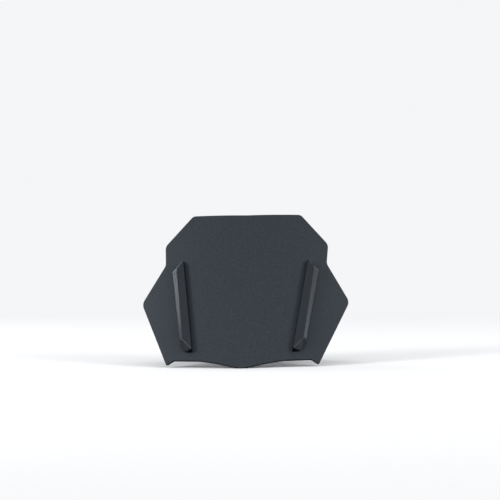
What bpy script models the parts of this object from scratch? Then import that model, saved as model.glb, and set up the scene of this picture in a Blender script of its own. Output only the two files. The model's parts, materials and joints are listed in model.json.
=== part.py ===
"""Motorcycle windshield screen with its height adjuster.

A bowed and raked screen is clamped between two slim covers in front and two arms behind.
Each arm hangs on a lower and an upper lever, which form a parallelogram, so the screen
rises along its own rake without tilting. A hand knob turns a pinion, the pinion turns a
toothed sector on the torque tube, and the torque tube swings both lower levers.

Frame: metres. +Z is up, -Y is the front of the motorcycle and +X is the rider's left.
The origin is midway between the two mounting feet, on the plane of their undersides.
"""

import math

import bmesh
import bpy
from mathutils import Matrix, Vector
from mathutils.geometry import convex_hull_2d

# ------------------------------------------------------------------ clearances
GAP = 0.0003  # between two pieces that seat on, or turn in, each other
OVERCUT = 0.002  # how far a cutter runs past the face it opens
MERGE = 0.000001  # points closer than this are one

# ------------------------------------------------------------------ screen panel
PANEL_HEIGHT = 0.272  # from the lowest tip to the top edge, straight up
PANEL_HALF_WIDTH = 0.1925  # at the flared lower corners, before rounding
PANEL_THICKNESS = 0.004
PANEL_BOW_RADIUS = 0.392  # sideways bow
PANEL_RAKE = 0.90  # setback for each unit of height at the lowest tip
PANEL_CURL = -0.368  # change of the rake with height, per metre
PANEL_DROP = 0.012  # how far the lowest tip hangs below the feet
PANEL_CELL = 0.016  # spacing of the cuts that let the sheet follow its curve
TOP_HALF_WIDTH = 0.102
SHOULDER_HALF_WIDTH = 0.1537
WAIST_HALF_WIDTH = 0.1508
WAIST_HEIGHT = 0.180
SHOULDER_ABOVE_WAIST = 0.035
FLARE_HEIGHT = 0.1095
TOE_HALF_WIDTH = 0.137
TOE_HEIGHT = 0.0044
HEM_HEIGHT = 0.0127  # straight part of the lower edge
HEM_OUTER = 0.123
HEM_INNER = 0.075
KEEL_HALF_WIDTH = 0.046  # where the shallow V starts to flatten out
KEEL_HEIGHT = 0.009
TIP_ROUND = 0.006  # corner radii of the outline
KEEL_ROUND = 0.060
HEM_ROUND = 0.040
NOTCH_ROUND = 0.002
TOE_ROUND = 0.003
SIDE_ROUND = 0.015
TOP_ROUND = 0.011

# ------------------------------------------------------------------ covers
COVER_FOOT_X = 0.0893  # inner edge at its lower tip
COVER_FOOT_HEIGHT = 0.0260
COVER_LENGTH = 0.160  # of the inner edge, straight up
COVER_LEAN = 0.16  # outward shift for each unit of height
COVER_WIDTH = 0.0240  # at the upper end of the outer wall
COVER_LOWER_WIDTH = 0.0222
COVER_RISE = 0.0110  # of the ridge above the panel
COVER_EDGE_RISE = 0.0090  # of the inner edge
COVER_CHAMFER_RISE = 0.0050  # where the outer chamfer ends
COVER_LOWER_RIDGE = 0.0150  # ridge from the inner edge, at its lower end
COVER_UPPER_RIDGE = 0.0130
COVER_LOWER_HIP = 0.0160  # length over which the lower end slants
COVER_UPPER_HIP = 0.0165
COVER_TOE_WIDTH = 0.0125  # rounded outer corner of the lower end
COVER_TOE_LENGTH = 0.0170
COVER_TOE_STEPS = 4
COVER_HEEL_LENGTH = 0.0210  # outer wall stops this far below the upper tip
COVER_DRAFT = 0.0010  # how far the walls lean out towards the panel
COVER_END_DRAFT = 0.0020
COVER_WALL = 0.0025
COVER_BOSS_RADIUS = 0.0062
COVER_CELL = 0.012

# ------------------------------------------------------------------ screen fixings
LOWER_FIXING_HEIGHT = 0.055
UPPER_FIXING_HEIGHT = 0.150
FIXING_INSET = 0.0120  # from the cover's inner edge
SCREW_RADIUS = 0.0020
INSERT_WALL = 0.0010
INSERT_LENGTH = 0.0054
SLEEVE_WALL = 0.0009
GROMMET_WALL = 0.0015
GROMMET_FLANGE_RADIUS = 0.0070
GROMMET_FLANGE = 0.0017
ARM_BOSS_RADIUS = 0.0075
ARM_BOSS_LENGTH = 0.0137
WASHER_RADIUS = 0.0050
WASHER_THICKNESS = 0.0010
SCREW_HEAD_RADIUS = 0.0040
SCREW_HEAD = 0.0030
SCREW_CROWN = 0.6  # radius of the flat end of the head, as a share of its radius

# ------------------------------------------------------------------ linkage
TORQUE_AXIS_Y = -0.017
LEVER_LENGTH = 0.060  # between its two pivots
LEVER_REST_ANGLE = math.radians(16)  # above the horizontal, pointing forward
LEVER_SPREAD_ANGLE = math.radians(52)  # of the upper pivot on the base, above the horizontal
PANEL_STANDOFF = 0.0453  # screen in front of the lower arm pivot, at the arm
PIN_RADIUS = 0.0040
PIN_HEAD_RADIUS = 0.0070
PIN_HEAD = 0.0030
NUT_RADIUS = 0.0068
NUT_THICKNESS = 0.0040
LEVER_EYE_RADIUS = 0.0090
LEVER_HUB_RADIUS = 0.0120
LEVER_HUB_LENGTH = 0.0080
EYE_RING_STEP = 0.0010  # the raised ring around a pivot is this much smaller than its eye
HUB_STEP = 0.0005  # a hub is this much smaller than the plate around it
TUBE_END_INSET = 0.0005
BOLT_BEVEL = 0.25  # of a bolt head, as a share of its height

# ------------------------------------------------------------------ widths, from the middle outwards
CHEEK_INSIDE_X = 0.086
CHEEK_THICKNESS = 0.004
BUSH_FLANGE = 0.0014
LEVER_THICKNESS = 0.006
ARM_THICKNESS = 0.007
ARM_SPACER = 0.0022  # raised ring on the arm that keeps it off the lever

# ------------------------------------------------------------------ arms
ARM_RAIL_FRONT = 0.008  # front edge of the arm, behind the panel's front face
ARM_RAIL_DEPTH = 0.0085
ARM_CORNER_RADIUS = 0.003
ARM_WEB_BELOW = 0.006  # the web to the pivots starts this far past the lower boss
ARM_WEB_ABOVE = 0.004  # and stops this far short of the upper one
BRACE_ALONG = 0.030  # brace bar from the lower fixing, along the arm
BRACE_DEPTH = 0.027
BRACE_RADIUS = 0.0055
BRACE_BOLT_RADIUS = 0.0030
BRACE_BOLT_HEAD_RADIUS = 0.0055
BRACE_BOLT_HEAD = 0.0032
BRACE_BOLT_LENGTH = 0.022

# ------------------------------------------------------------------ base
FOOT_LENGTH = 0.070
FOOT_WIDTH = 0.028
FOOT_THICKNESS = 0.004
FOOT_HOLE_RADIUS = 0.0034
FOOT_HOLE_SPACING = 0.042
FOOT_HOLE_INSET = 0.0174  # from the inside of the cheek
CHEEK_RIM = 0.0055  # material around each bore of the cheek
TUBE_RADIUS = 0.0070
TUBE_FLAT = 0.0055  # half the width across the flats at the tube's ends
BUSH_WALL = 0.0020
BUSH_FLANGE_RADIUS = 0.0115
BUSH_OVERHANG = 0.0015  # past the inside of the cheek
HUB_BOLT_RADIUS = 0.0040
HUB_BOLT_HEAD_RADIUS = 0.0085
HUB_BOLT_HEAD = 0.0036
HUB_BOLT_LENGTH = 0.024
TIE_TUBE_RADIUS = 0.0070
CROSS_TUBE_Y = -0.028
CROSS_TUBE_Z = 0.0130
CROSS_TUBE_RADIUS = 0.0060
CROSS_BOLT_RADIUS = 0.0030
CROSS_BOLT_HEAD_RADIUS = 0.0055
CROSS_BOLT_LENGTH = 0.020

# ------------------------------------------------------------------ drive
GEAR_MODULE = 0.0015
SECTOR_TEETH = 44  # of the full circle that the sector is cut from
SECTOR_TEETH_CUT = 9
PINION_TEETH = 8
TEETH_BEFORE_CONTACT = 2  # sector teeth below the pinion when the screen is down
CONTACT_ANGLE = math.radians(-10)  # of the pinion, seen from the torque tube
PRESSURE_ANGLE = math.radians(25)
TOOTH_ADDENDUM = 0.0011
TOOTH_DEDENDUM = 0.0014
TOOTH_BACKLASH = 0.00035
FLANK_STEPS = 3
SECTOR_THICKNESS = 0.006
SECTOR_HUB_WALL = 0.0055
SECTOR_HUB_LENGTH = 0.012
SECTOR_INSET = 0.006  # sector from the inside of the cheek
SECTOR_HUB_STEP = 0.0008
SECTOR_BACK = (math.radians(55), math.radians(-55))  # ends of the hub's arc, past the end teeth
SECTOR_WINDOWS = 3  # round lightening holes
SECTOR_WINDOW_ANGLE = math.radians(18)  # between two of them
SECTOR_FOOT_CLEARANCE = 0.0019
SECTOR_TIE_CLEARANCE = 0.0029
PINION_OVERHANG = 0.001  # pinion wider than the sector, each side
PINION_NECK_STEP = 0.0002  # the shaft inside the pinion is this much thinner than its roots
SHAFT_RADIUS = 0.0050
BEARING_WALL = 0.0020
BEARING_FLANGE = 0.0017
BEARING_FLANGE_RADIUS = 0.0100
FRICTION_WASHER = 0.0012
FRICTION_WASHER_RADIUS = 0.0090
KNOB_NECK_RADIUS = 0.0085
KNOB_NECK_LENGTH = 0.0125
KNOB_RADIUS = 0.0200
KNOB_LENGTH = 0.018
KNOB_LOBES = 8
KNOB_LOBE_DEPTH = 0.0011
KNOB_LOBE_STEPS = 6
KNOB_RECESS_RADIUS = 0.0075
KNOB_RECESS_DEPTH = 0.0045
KNOB_SCREW_RADIUS = 0.0020
KNOB_SCREW_HEAD_RADIUS = 0.0055
KNOB_SCREW_HEAD = 0.0030
KNOB_SCREW_LENGTH = 0.014

# ------------------------------------------------------------------ roundness
ARC_STEP = math.radians(22.5)  # of fillets
ROUND_STEPS = 16  # sides of a turned piece
FINE_STEPS = 24  # sides of the round ends of plates

SIDES = {"left": 1, "right": -1}  # the rider's left is +X

# ------------------------------------------------------------------ finishes
FINISHES = {
    "panel": ((0.046, 0.054, 0.064), 0.62, 0.0),
    "cover": ((0.020, 0.021, 0.023), 0.34, 0.0),
    "rubber": ((0.016, 0.016, 0.017), 0.80, 0.0),
    "brass": ((0.62, 0.45, 0.18), 0.32, 1.0),
    "zinc": ((0.58, 0.59, 0.61), 0.36, 1.0),
    "black_steel": ((0.025, 0.025, 0.027), 0.45, 0.6),
    "black_aluminium": ((0.035, 0.036, 0.038), 0.42, 0.5),
    "nylon": ((0.80, 0.79, 0.74), 0.45, 0.0),
    "knob": ((0.018, 0.018, 0.019), 0.60, 0.0),
}


# ------------------------------------------------------------------ derived places
def pivot(start, length, angle, forward):
    """A point in the (y, z) plane at a distance and an angle from another point."""
    y, z = start
    direction = -1 if forward else 1
    return (y + direction * length * math.cos(angle), z + length * math.sin(angle))


SECTOR_PITCH_RADIUS = GEAR_MODULE * SECTOR_TEETH / 2
PINION_PITCH_RADIUS = GEAR_MODULE * PINION_TEETH / 2
SECTOR_TIP_RADIUS = SECTOR_PITCH_RADIUS + TOOTH_ADDENDUM
LEVER_SPREAD = SECTOR_TIP_RADIUS + SECTOR_TIE_CLEARANCE + TIE_TUBE_RADIUS  # between the base's two pivots

TORQUE_AXIS = (TORQUE_AXIS_Y, FOOT_THICKNESS + SECTOR_FOOT_CLEARANCE + SECTOR_TIP_RADIUS)
UPPER_BASE_AXIS = pivot(TORQUE_AXIS, LEVER_SPREAD, LEVER_SPREAD_ANGLE, forward=False)
LOWER_ARM_AXIS = pivot(TORQUE_AXIS, LEVER_LENGTH, LEVER_REST_ANGLE, forward=True)
UPPER_ARM_AXIS = pivot(LOWER_ARM_AXIS, LEVER_SPREAD, LEVER_SPREAD_ANGLE, forward=False)
PINION_AXIS = pivot(TORQUE_AXIS, SECTOR_PITCH_RADIUS + PINION_PITCH_RADIUS, CONTACT_ANGLE, forward=False)

CHEEK_OUTSIDE_X = CHEEK_INSIDE_X + CHEEK_THICKNESS
LEVER_INSIDE_X = CHEEK_OUTSIDE_X + GAP + BUSH_FLANGE + GAP
LEVER_OUTSIDE_X = LEVER_INSIDE_X + LEVER_THICKNESS
ARM_INSIDE_X = LEVER_OUTSIDE_X + GAP + ARM_SPACER
ARM_MIDDLE_X = ARM_INSIDE_X + ARM_THICKNESS / 2
ARM_OUTSIDE_X = ARM_INSIDE_X + ARM_THICKNESS

SLEEVE_RADIUS = SCREW_RADIUS + GAP + SLEEVE_WALL
INSERT_RADIUS = SCREW_RADIUS + GAP + INSERT_WALL
GROMMET_BORE = SLEEVE_RADIUS + GAP
GROMMET_NECK = GROMMET_BORE + GROMMET_WALL
PANEL_HOLE_RADIUS = GROMMET_NECK + GAP

# Depths along the screen's own normal, from its front face. Forward is positive.
GROMMET_FRONT = GAP + GROMMET_FLANGE
GROMMET_BACK = -PANEL_THICKNESS - GAP - GROMMET_FLANGE
COVER_BOSS_BACK = GROMMET_FRONT + GAP
INSERT_BACK = COVER_BOSS_BACK + GAP
INSERT_FRONT = INSERT_BACK + INSERT_LENGTH
ARM_BOSS_FRONT = GROMMET_BACK - GAP
ARM_BOSS_BACK = ARM_BOSS_FRONT - ARM_BOSS_LENGTH
WASHER_FRONT = ARM_BOSS_BACK - GAP
WASHER_BACK = WASHER_FRONT - WASHER_THICKNESS
HEAD_FRONT = WASHER_BACK - GAP
HEAD_BACK = HEAD_FRONT - SCREW_HEAD

TORQUE_BUSH_RADIUS = TUBE_RADIUS + GAP + BUSH_WALL
BEARING_RADIUS = SHAFT_RADIUS + GAP + BEARING_WALL


def panel_setback(x, height):
    """How far the panel's front face lies behind its lowest tip."""
    bow = PANEL_BOW_RADIUS - math.sqrt(PANEL_BOW_RADIUS**2 - x**2)
    return PANEL_RAKE * height + PANEL_CURL * height**2 + bow


def cover_line(height):
    """x of the cover's inner edge at a height above the panel's lowest tip."""
    return COVER_FOOT_X + COVER_LEAN * (height - COVER_FOOT_HEIGHT)


PIVOT_HEIGHT = LOWER_ARM_AXIS[1] + PANEL_DROP
PANEL_TIP_Y = LOWER_ARM_AXIS[0] - PANEL_STANDOFF - panel_setback(ARM_MIDDLE_X, PIVOT_HEIGHT)


def panel_point(x, height, depth=0.0):
    """World point at a distance in front of the panel's front face."""
    face = Vector((x, PANEL_TIP_Y + panel_setback(x, height), height - PANEL_DROP))
    return face + panel_normal(x, height) * depth


def panel_normal(x, height):
    """Unit normal of the panel's front face."""
    slope_x = x / math.sqrt(PANEL_BOW_RADIUS**2 - x**2)
    slope_z = PANEL_RAKE + 2 * PANEL_CURL * height
    return Vector((slope_x, -1.0, slope_z)).normalized()


def fixing_places(side):
    """(x, height) of the lower and the upper screw of one side."""
    return {
        name: (side * (cover_line(height) + FIXING_INSET), height)
        for name, height in (("lower", LOWER_FIXING_HEIGHT), ("upper", UPPER_FIXING_HEIGHT))
    }


# ------------------------------------------------------------------ scene set-up
def new_collection(name):
    """A collection under the scene's own."""
    collection = bpy.data.collections.new(name)
    bpy.context.scene.collection.children.link(collection)
    return collection


def clear_scene():
    """Remove every object."""
    for obj in list(bpy.data.objects):
        bpy.data.objects.remove(obj, do_unlink=True)


clear_scene()
PARTS = new_collection("windshield_screen")
CUTTERS = new_collection("cutters")
MATERIALS = {}
AXES = {}


def material(finish):
    """The shared Principled material of a finish."""
    if finish not in MATERIALS:
        colour, roughness, metallic = FINISHES[finish]
        made = bpy.data.materials.new(finish)
        made.use_nodes = True
        shader = made.node_tree.nodes["Principled BSDF"]
        shader.inputs["Base Color"].default_value = (*colour, 1.0)
        shader.inputs["Roughness"].default_value = roughness
        shader.inputs["Metallic"].default_value = metallic
        MATERIALS[finish] = made
    return MATERIALS[finish]


def add_axis(body, y, z):
    """An empty on a body's joint axis, which carries the body's pieces."""
    empty = bpy.data.objects.new(f"{body}_axis", None)
    empty.location = (0.0, y, z)
    PARTS.objects.link(empty)
    AXES[body] = empty


def finish_part(obj, finish, body):
    """Give a piece its own material and hang it on its body's axis."""
    obj.data.materials.clear()
    own = material(finish).copy()
    own.name = f"{obj.name}_finish"
    obj.data.materials.append(own)
    obj.parent = AXES[body]
    obj.matrix_parent_inverse = Matrix.Translation(-AXES[body].location)
    return obj


# ------------------------------------------------------------------ frames
def frame_along(point, direction):
    """A frame at a point with its Z along a direction."""
    turn = Vector(direction).to_track_quat("Z", "Y").to_matrix().to_4x4()
    return Matrix.Translation(point) @ turn


def side_frame(side, x, place):
    """A frame at (x, y, z) whose Z points outwards, away from the middle plane."""
    return frame_along((side * x, *place), (side, 0.0, 0.0))


def plate_frame(x):
    """A frame whose X and Y are the world's Y and Z, and whose Z is the world's X."""
    turn = Matrix(((0, 0, 1, 0), (1, 0, 0, 0), (0, 1, 0, 0), (0, 0, 0, 1)))
    return Matrix.Translation((x, 0.0, 0.0)) @ turn


def fixing_frame(x, height):
    """A frame on the panel's front face with its Z along the normal."""
    return frame_along(panel_point(x, height), panel_normal(x, height))


# ------------------------------------------------------------------ outlines
def arc(centre, radius, start, end, steps):
    """Points on an arc, both ends included."""
    angles = [start + (end - start) * i / steps for i in range(steps + 1)]
    return [(centre[0] + radius * math.cos(a), centre[1] + radius * math.sin(a)) for a in angles]


def circle(centre, radius, steps=ROUND_STEPS):
    """Points on a full circle."""
    return arc(centre, radius, 0.0, 2 * math.pi, steps)[:-1]


def rounded(corners):
    """A closed outline whose corners (u, v, radius) are rounded as far as their sides allow."""
    points = []
    count = len(corners)
    for i, (u, v, radius) in enumerate(corners):
        here = Vector((u, v))
        before = Vector(corners[i - 1][:2]) - here
        after = Vector(corners[(i + 1) % count][:2]) - here
        opening = before.angle(after)
        reach = min(radius / math.tan(opening / 2), 0.48 * before.length, 0.48 * after.length)
        fitted = reach * math.tan(opening / 2)
        if fitted <= 0.0:
            points.append((u, v))
            continue
        first = here + before.normalized() * reach
        last = here + after.normalized() * reach
        bisector = (before.normalized() + after.normalized()).normalized()
        centre = here + bisector * (fitted / math.sin(opening / 2))
        start = first - centre
        sweep = math.pi - opening
        if start.x * (last - centre).y - start.y * (last - centre).x < 0:
            sweep = -sweep
        steps = max(1, math.ceil(abs(sweep) / ARC_STEP))
        angle = math.atan2(start.y, start.x)
        points += arc(centre, fitted, angle, angle + sweep, steps)
    return points


def hull(circles):
    """Outline of a belt around circles given as (centre, radius)."""
    points = [p for centre, radius in circles for p in circle(centre, radius, FINE_STEPS)]
    return [points[i] for i in convex_hull_2d([Vector(p) for p in points])]


def flatted_circle(centre, radius, half_flat):
    """A circle with two flats, above and below."""
    angle = math.asin(half_flat / radius)
    steps = ROUND_STEPS // 4
    right = arc(centre, radius, -angle, angle, steps)
    left = arc(centre, radius, math.pi - angle, math.pi + angle, steps)
    return right + left


# ------------------------------------------------------------------ solids
def weld(mesh):
    """Close the seams that a converted curve leaves."""
    shape = bmesh.new()
    shape.from_mesh(mesh)
    bmesh.ops.remove_doubles(shape, verts=shape.verts, dist=MERGE)
    bmesh.ops.recalc_face_normals(shape, faces=shape.faces)
    shape.to_mesh(mesh)
    shape.free()


def smooth(mesh, angle=math.radians(35)):
    """Shade round faces smooth and keep the edges between flats."""
    mesh.shade_smooth()
    mesh.set_sharp_from_angle(angle=angle)


def plate(name, outline, thickness, frame, holes=(), collection=PARTS):
    """A flat plate, centred on its frame's XY plane."""
    curve = bpy.data.curves.new(name, "CURVE")
    curve.dimensions = "2D"
    curve.fill_mode = "BOTH"
    curve.extrude = thickness / 2
    for loop in (outline, *holes):
        spline = curve.splines.new("POLY")
        spline.points.add(len(loop) - 1)
        for point, (u, v) in zip(spline.points, loop):
            point.co = (u, v, 0.0, 1.0)
        spline.use_cyclic_u = True
    drawn = bpy.data.objects.new(f"{name}_outline", curve)
    CUTTERS.objects.link(drawn)
    evaluated = drawn.evaluated_get(bpy.context.evaluated_depsgraph_get())
    mesh = bpy.data.meshes.new_from_object(evaluated)
    mesh.name = name
    bpy.data.objects.remove(drawn, do_unlink=True)
    weld(mesh)
    smooth(mesh)
    obj = bpy.data.objects.new(name, mesh)
    obj.matrix_world = frame
    collection.objects.link(obj)
    return obj


def turned(name, profile, frame, steps=ROUND_STEPS, collection=PARTS):
    """A turned piece. The profile of (radius, height) runs down its outer side.

    A profile that starts and ends on the axis gives a solid; any other is closed to a ring.
    """
    mesh = bpy.data.meshes.new(name)
    edges = [(i, i + 1) for i in range(len(profile) - 1)]
    if profile[0][0] > 0.0:
        edges.append((len(profile) - 1, 0))
    mesh.from_pydata([(radius, 0.0, height) for radius, height in profile], edges, [])
    obj = bpy.data.objects.new(name, mesh)
    obj.matrix_world = frame
    collection.objects.link(obj)
    screw = obj.modifiers.new("turn", "SCREW")
    screw.steps = steps
    screw.render_steps = steps
    screw.use_merge_vertices = True
    screw.merge_threshold = MERGE
    screw.use_normal_calculate = False
    return obj


def rod(name, radius, bottom, top, frame, collection=PARTS, steps=ROUND_STEPS):
    """A round bar between two heights of its frame."""
    shape = bmesh.new()
    middle = Matrix.Translation((0.0, 0.0, (bottom + top) / 2))
    bmesh.ops.create_cone(
        shape, cap_ends=True, segments=steps, radius1=radius, radius2=radius,
        depth=abs(top - bottom), matrix=middle,
    )
    mesh = bpy.data.meshes.new(name)
    shape.to_mesh(mesh)
    shape.free()
    smooth(mesh)
    obj = bpy.data.objects.new(name, mesh)
    obj.matrix_world = frame
    collection.objects.link(obj)
    return obj


def box(name, low, high, collection=PARTS):
    """A block between two corners."""
    shape = bmesh.new()
    bmesh.ops.create_cube(shape, size=1.0)
    size = [high[i] - low[i] for i in range(3)]
    middle = [(high[i] + low[i]) / 2 for i in range(3)]
    bmesh.ops.scale(shape, vec=size, verts=shape.verts)
    bmesh.ops.translate(shape, vec=middle, verts=shape.verts)
    mesh = bpy.data.meshes.new(name)
    shape.to_mesh(mesh)
    shape.free()
    obj = bpy.data.objects.new(name, mesh)
    collection.objects.link(obj)
    return obj


def combine(obj, tool, operation):
    """Cut a tool out of a piece, or add it to the piece."""
    step = obj.modifiers.new(f"{operation.lower()}_{tool.name}", "BOOLEAN")
    step.operation = operation
    step.solver = "EXACT"
    step.object = tool
    tool.hide_render = True
    tool.display_type = "WIRE"
    return obj


def cut(obj, tool):
    """Remove a tool's volume from a piece."""
    return combine(obj, tool, "DIFFERENCE")


def add(obj, tool):
    """Join a tool's volume to a piece."""
    return combine(obj, tool, "UNION")


def drill(obj, name, radius, frame, bottom, top):
    """A round hole along a frame's Z."""
    return cut(obj, rod(f"{name}_cut", radius, bottom, top, frame, CUTTERS))


# ------------------------------------------------------------------ screen panel
def panel_outline():
    """The panel seen straight from the front, as (x, height) above its lowest tip."""
    half = [
        (KEEL_HALF_WIDTH, KEEL_HEIGHT, KEEL_ROUND),
        (HEM_INNER, HEM_HEIGHT, HEM_ROUND),
        (HEM_OUTER, HEM_HEIGHT, NOTCH_ROUND),
        (TOE_HALF_WIDTH, TOE_HEIGHT, TOE_ROUND),
        (PANEL_HALF_WIDTH, FLARE_HEIGHT, SIDE_ROUND),
        (WAIST_HALF_WIDTH, WAIST_HEIGHT, SIDE_ROUND),
        (SHOULDER_HALF_WIDTH, WAIST_HEIGHT + SHOULDER_ABOVE_WAIST, SIDE_ROUND),
        (TOP_HALF_WIDTH, PANEL_HEIGHT, TOP_ROUND),
    ]
    mirrored = [(-x, height, radius) for x, height, radius in reversed(half)]
    return rounded([(0.0, 0.0, TIP_ROUND), *half, *mirrored])


def slice_mesh(mesh, cuts):
    """Cut a mesh along planes given as (point, normal), so that it can bend there."""
    shape = bmesh.new()
    shape.from_mesh(mesh)
    for point, normal in cuts:
        geometry = [*shape.verts, *shape.edges, *shape.faces]
        bmesh.ops.bisect_plane(shape, geom=geometry, dist=MERGE, plane_co=point, plane_no=normal)
    shape.to_mesh(mesh)
    shape.free()


def cut_series(low, high, cell, normal):
    """Evenly spaced cutting planes strictly inside a range."""
    count = math.ceil((high - low) / cell)
    places = [low + (high - low) * i / count for i in range(1, count)]
    return [(Vector(normal) * place, Vector(normal)) for place in places]


def build_panel():
    """The bowed and raked sheet, with a hole for each grommet."""
    panel = plate("screen_panel", panel_outline(), 0.0, Matrix.Identity(4))
    shape = bmesh.new()
    shape.from_mesh(panel.data)
    bmesh.ops.dissolve_faces(shape, faces=shape.faces)
    shape.to_mesh(panel.data)
    shape.free()
    across = cut_series(-PANEL_HALF_WIDTH, PANEL_HALF_WIDTH, PANEL_CELL, (1.0, 0.0, 0.0))
    upwards = cut_series(0.0, PANEL_HEIGHT, PANEL_CELL, (0.0, 1.0, 0.0))
    slice_mesh(panel.data, across + upwards)
    for vertex in panel.data.vertices:
        vertex.co = panel_point(vertex.co.x, vertex.co.y)
    smooth(panel.data)
    wall = panel.modifiers.new("thickness", "SOLIDIFY")
    wall.thickness = PANEL_THICKNESS
    wall.offset = -1.0
    wall.use_even_offset = True
    for side_name, side in SIDES.items():
        for place, (x, height) in fixing_places(side).items():
            drill(panel, f"panel_hole_{side_name}_{place}", PANEL_HOLE_RADIUS, fixing_frame(x, height),
                  -PANEL_THICKNESS - OVERCUT, OVERCUT)
    finish_part(panel, "panel", "screen")


# ------------------------------------------------------------------ covers
def cover_corners(inset):
    """Corners (across, along, rise) of the cover, or of its hollow when it is set in by a wall."""
    foot = GAP if inset == 0.0 else -OVERCUT
    end_inset = inset * math.hypot(COVER_LOWER_HIP, COVER_LOWER_RIDGE) / COVER_LOWER_RIDGE
    low = COVER_END_DRAFT + end_inset
    high = COVER_LENGTH - COVER_END_DRAFT - end_inset
    heel = COVER_LENGTH - COVER_HEEL_LENGTH - inset
    chamfer = COVER_CHAMFER_RISE - inset / 2
    corners = [
        (inset - COVER_DRAFT, end_inset, foot),
        (inset - COVER_DRAFT, COVER_LENGTH - end_inset, foot),
        (inset, low, COVER_EDGE_RISE - inset),
        (inset, high, COVER_EDGE_RISE - inset),
        (COVER_LOWER_RIDGE - inset / 2, low + COVER_LOWER_HIP, COVER_RISE - inset),
        (COVER_UPPER_RIDGE - inset / 2, high - COVER_UPPER_HIP, COVER_RISE - inset),
        (COVER_LOWER_WIDTH - COVER_DRAFT - inset, COVER_TOE_LENGTH + end_inset, chamfer),
        (COVER_WIDTH - COVER_DRAFT - inset, heel, chamfer),
        (COVER_WIDTH - inset, heel, foot),
    ]
    for i in range(COVER_TOE_STEPS + 1):
        turn = math.pi / 2 * i / COVER_TOE_STEPS
        across = COVER_LOWER_WIDTH - COVER_TOE_WIDTH * (1 - math.sin(turn)) - inset
        along = COVER_TOE_LENGTH * (1 - math.cos(turn)) + end_inset
        corners.append((across, along, foot))
    return [Vector(corner) for corner in corners]


def cover_solid(name, side, inset, collection):
    """The convex form through the cover's corners, bent to follow the panel."""
    shape = bmesh.new()
    for corner in cover_corners(inset):
        shape.verts.new(corner)
    made = bmesh.ops.convex_hull(shape, input=shape.verts)
    inner = {item for item in made["geom_interior"] + made["geom_unused"] if item in shape.verts}
    bmesh.ops.delete(shape, geom=list(inner), context="VERTS")
    bmesh.ops.dissolve_limit(shape, angle_limit=math.radians(1), verts=shape.verts, edges=shape.edges)
    mesh = bpy.data.meshes.new(name)
    shape.to_mesh(mesh)
    shape.free()
    slice_mesh(mesh, cut_series(0.0, COVER_LENGTH, COVER_CELL, (0.0, 1.0, 0.0)))
    for vertex in mesh.vertices:
        across, along, rise = vertex.co
        height = COVER_FOOT_HEIGHT + along
        vertex.co = panel_point(side * (cover_line(height) + across), height, rise)
    shape = bmesh.new()
    shape.from_mesh(mesh)
    bmesh.ops.recalc_face_normals(shape, faces=shape.faces)
    shape.to_mesh(mesh)
    shape.free()
    smooth(mesh)
    obj = bpy.data.objects.new(name, mesh)
    collection.objects.link(obj)
    return obj


def build_cover(side_name, side):
    """A hollow cover with a blind boss over each fixing."""
    cover = cover_solid(f"cover_{side_name}", side, 0.0, PARTS)
    hollow = cover_solid(f"cover_hollow_{side_name}", side, COVER_WALL, CUTTERS)
    for place, (x, height) in fixing_places(side).items():
        name = f"cover_boss_{side_name}_{place}"
        drill(hollow, name, COVER_BOSS_RADIUS, fixing_frame(x, height), -2 * OVERCUT, COVER_RISE)
    cut(cover, hollow)
    for place, (x, height) in fixing_places(side).items():
        frame = fixing_frame(x, height)
        drill(cover, f"cover_seat_{side_name}_{place}", GROMMET_FLANGE_RADIUS + GAP, frame,
              -OVERCUT, COVER_BOSS_BACK)
        drill(cover, f"cover_bore_{side_name}_{place}", INSERT_RADIUS + GAP, frame, 0.0, INSERT_FRONT + GAP)
    finish_part(cover, "cover", "screen")


# ------------------------------------------------------------------ screen fixings
def build_fixing(side_name, place, x, height):
    """Grommet, sleeve, insert, washer and screw of one fixing point."""
    frame = fixing_frame(x, height)
    tag = f"{side_name}_{place}"
    grommet = turned(
        f"grommet_{tag}",
        [
            (GROMMET_BORE, GROMMET_FRONT),
            (GROMMET_FLANGE_RADIUS, GROMMET_FRONT),
            (GROMMET_FLANGE_RADIUS, GAP),
            (GROMMET_NECK, GAP),
            (GROMMET_NECK, -PANEL_THICKNESS - GAP),
            (GROMMET_FLANGE_RADIUS, -PANEL_THICKNESS - GAP),
            (GROMMET_FLANGE_RADIUS, GROMMET_BACK),
            (GROMMET_BORE, GROMMET_BACK),
        ],
        frame,
    )
    finish_part(grommet, "rubber", "screen")
    sleeve = tube(f"sleeve_{tag}", SLEEVE_RADIUS, SCREW_RADIUS + GAP, GROMMET_BACK, GROMMET_FRONT, frame)
    finish_part(sleeve, "zinc", "screen")
    insert = tube(f"insert_{tag}", INSERT_RADIUS, SCREW_RADIUS + GAP, INSERT_BACK, INSERT_FRONT, frame)
    finish_part(insert, "brass", "screen")
    washer = tube(f"washer_{tag}", WASHER_RADIUS, SCREW_RADIUS + GAP, WASHER_BACK, WASHER_FRONT, frame)
    finish_part(washer, "zinc", "screen")
    crown = SCREW_HEAD_RADIUS * SCREW_CROWN
    screw = turned(
        f"screen_screw_{tag}",
        [
            (0.0, INSERT_FRONT - GAP),
            (SCREW_RADIUS, INSERT_FRONT - GAP),
            (SCREW_RADIUS, HEAD_FRONT),
            (SCREW_HEAD_RADIUS, HEAD_FRONT),
            (SCREW_HEAD_RADIUS, HEAD_FRONT - SCREW_HEAD / 3),
            (crown, HEAD_BACK),
            (0.0, HEAD_BACK),
        ],
        frame,
        steps=12,
    )
    finish_part(screw, "black_steel", "screen")


def tube(name, outer, inner, bottom, top, frame, steps=ROUND_STEPS):
    """A plain ring or tube between two heights of its frame."""
    return turned(name, [(inner, top), (outer, top), (outer, bottom), (inner, bottom)], frame, steps)


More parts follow.
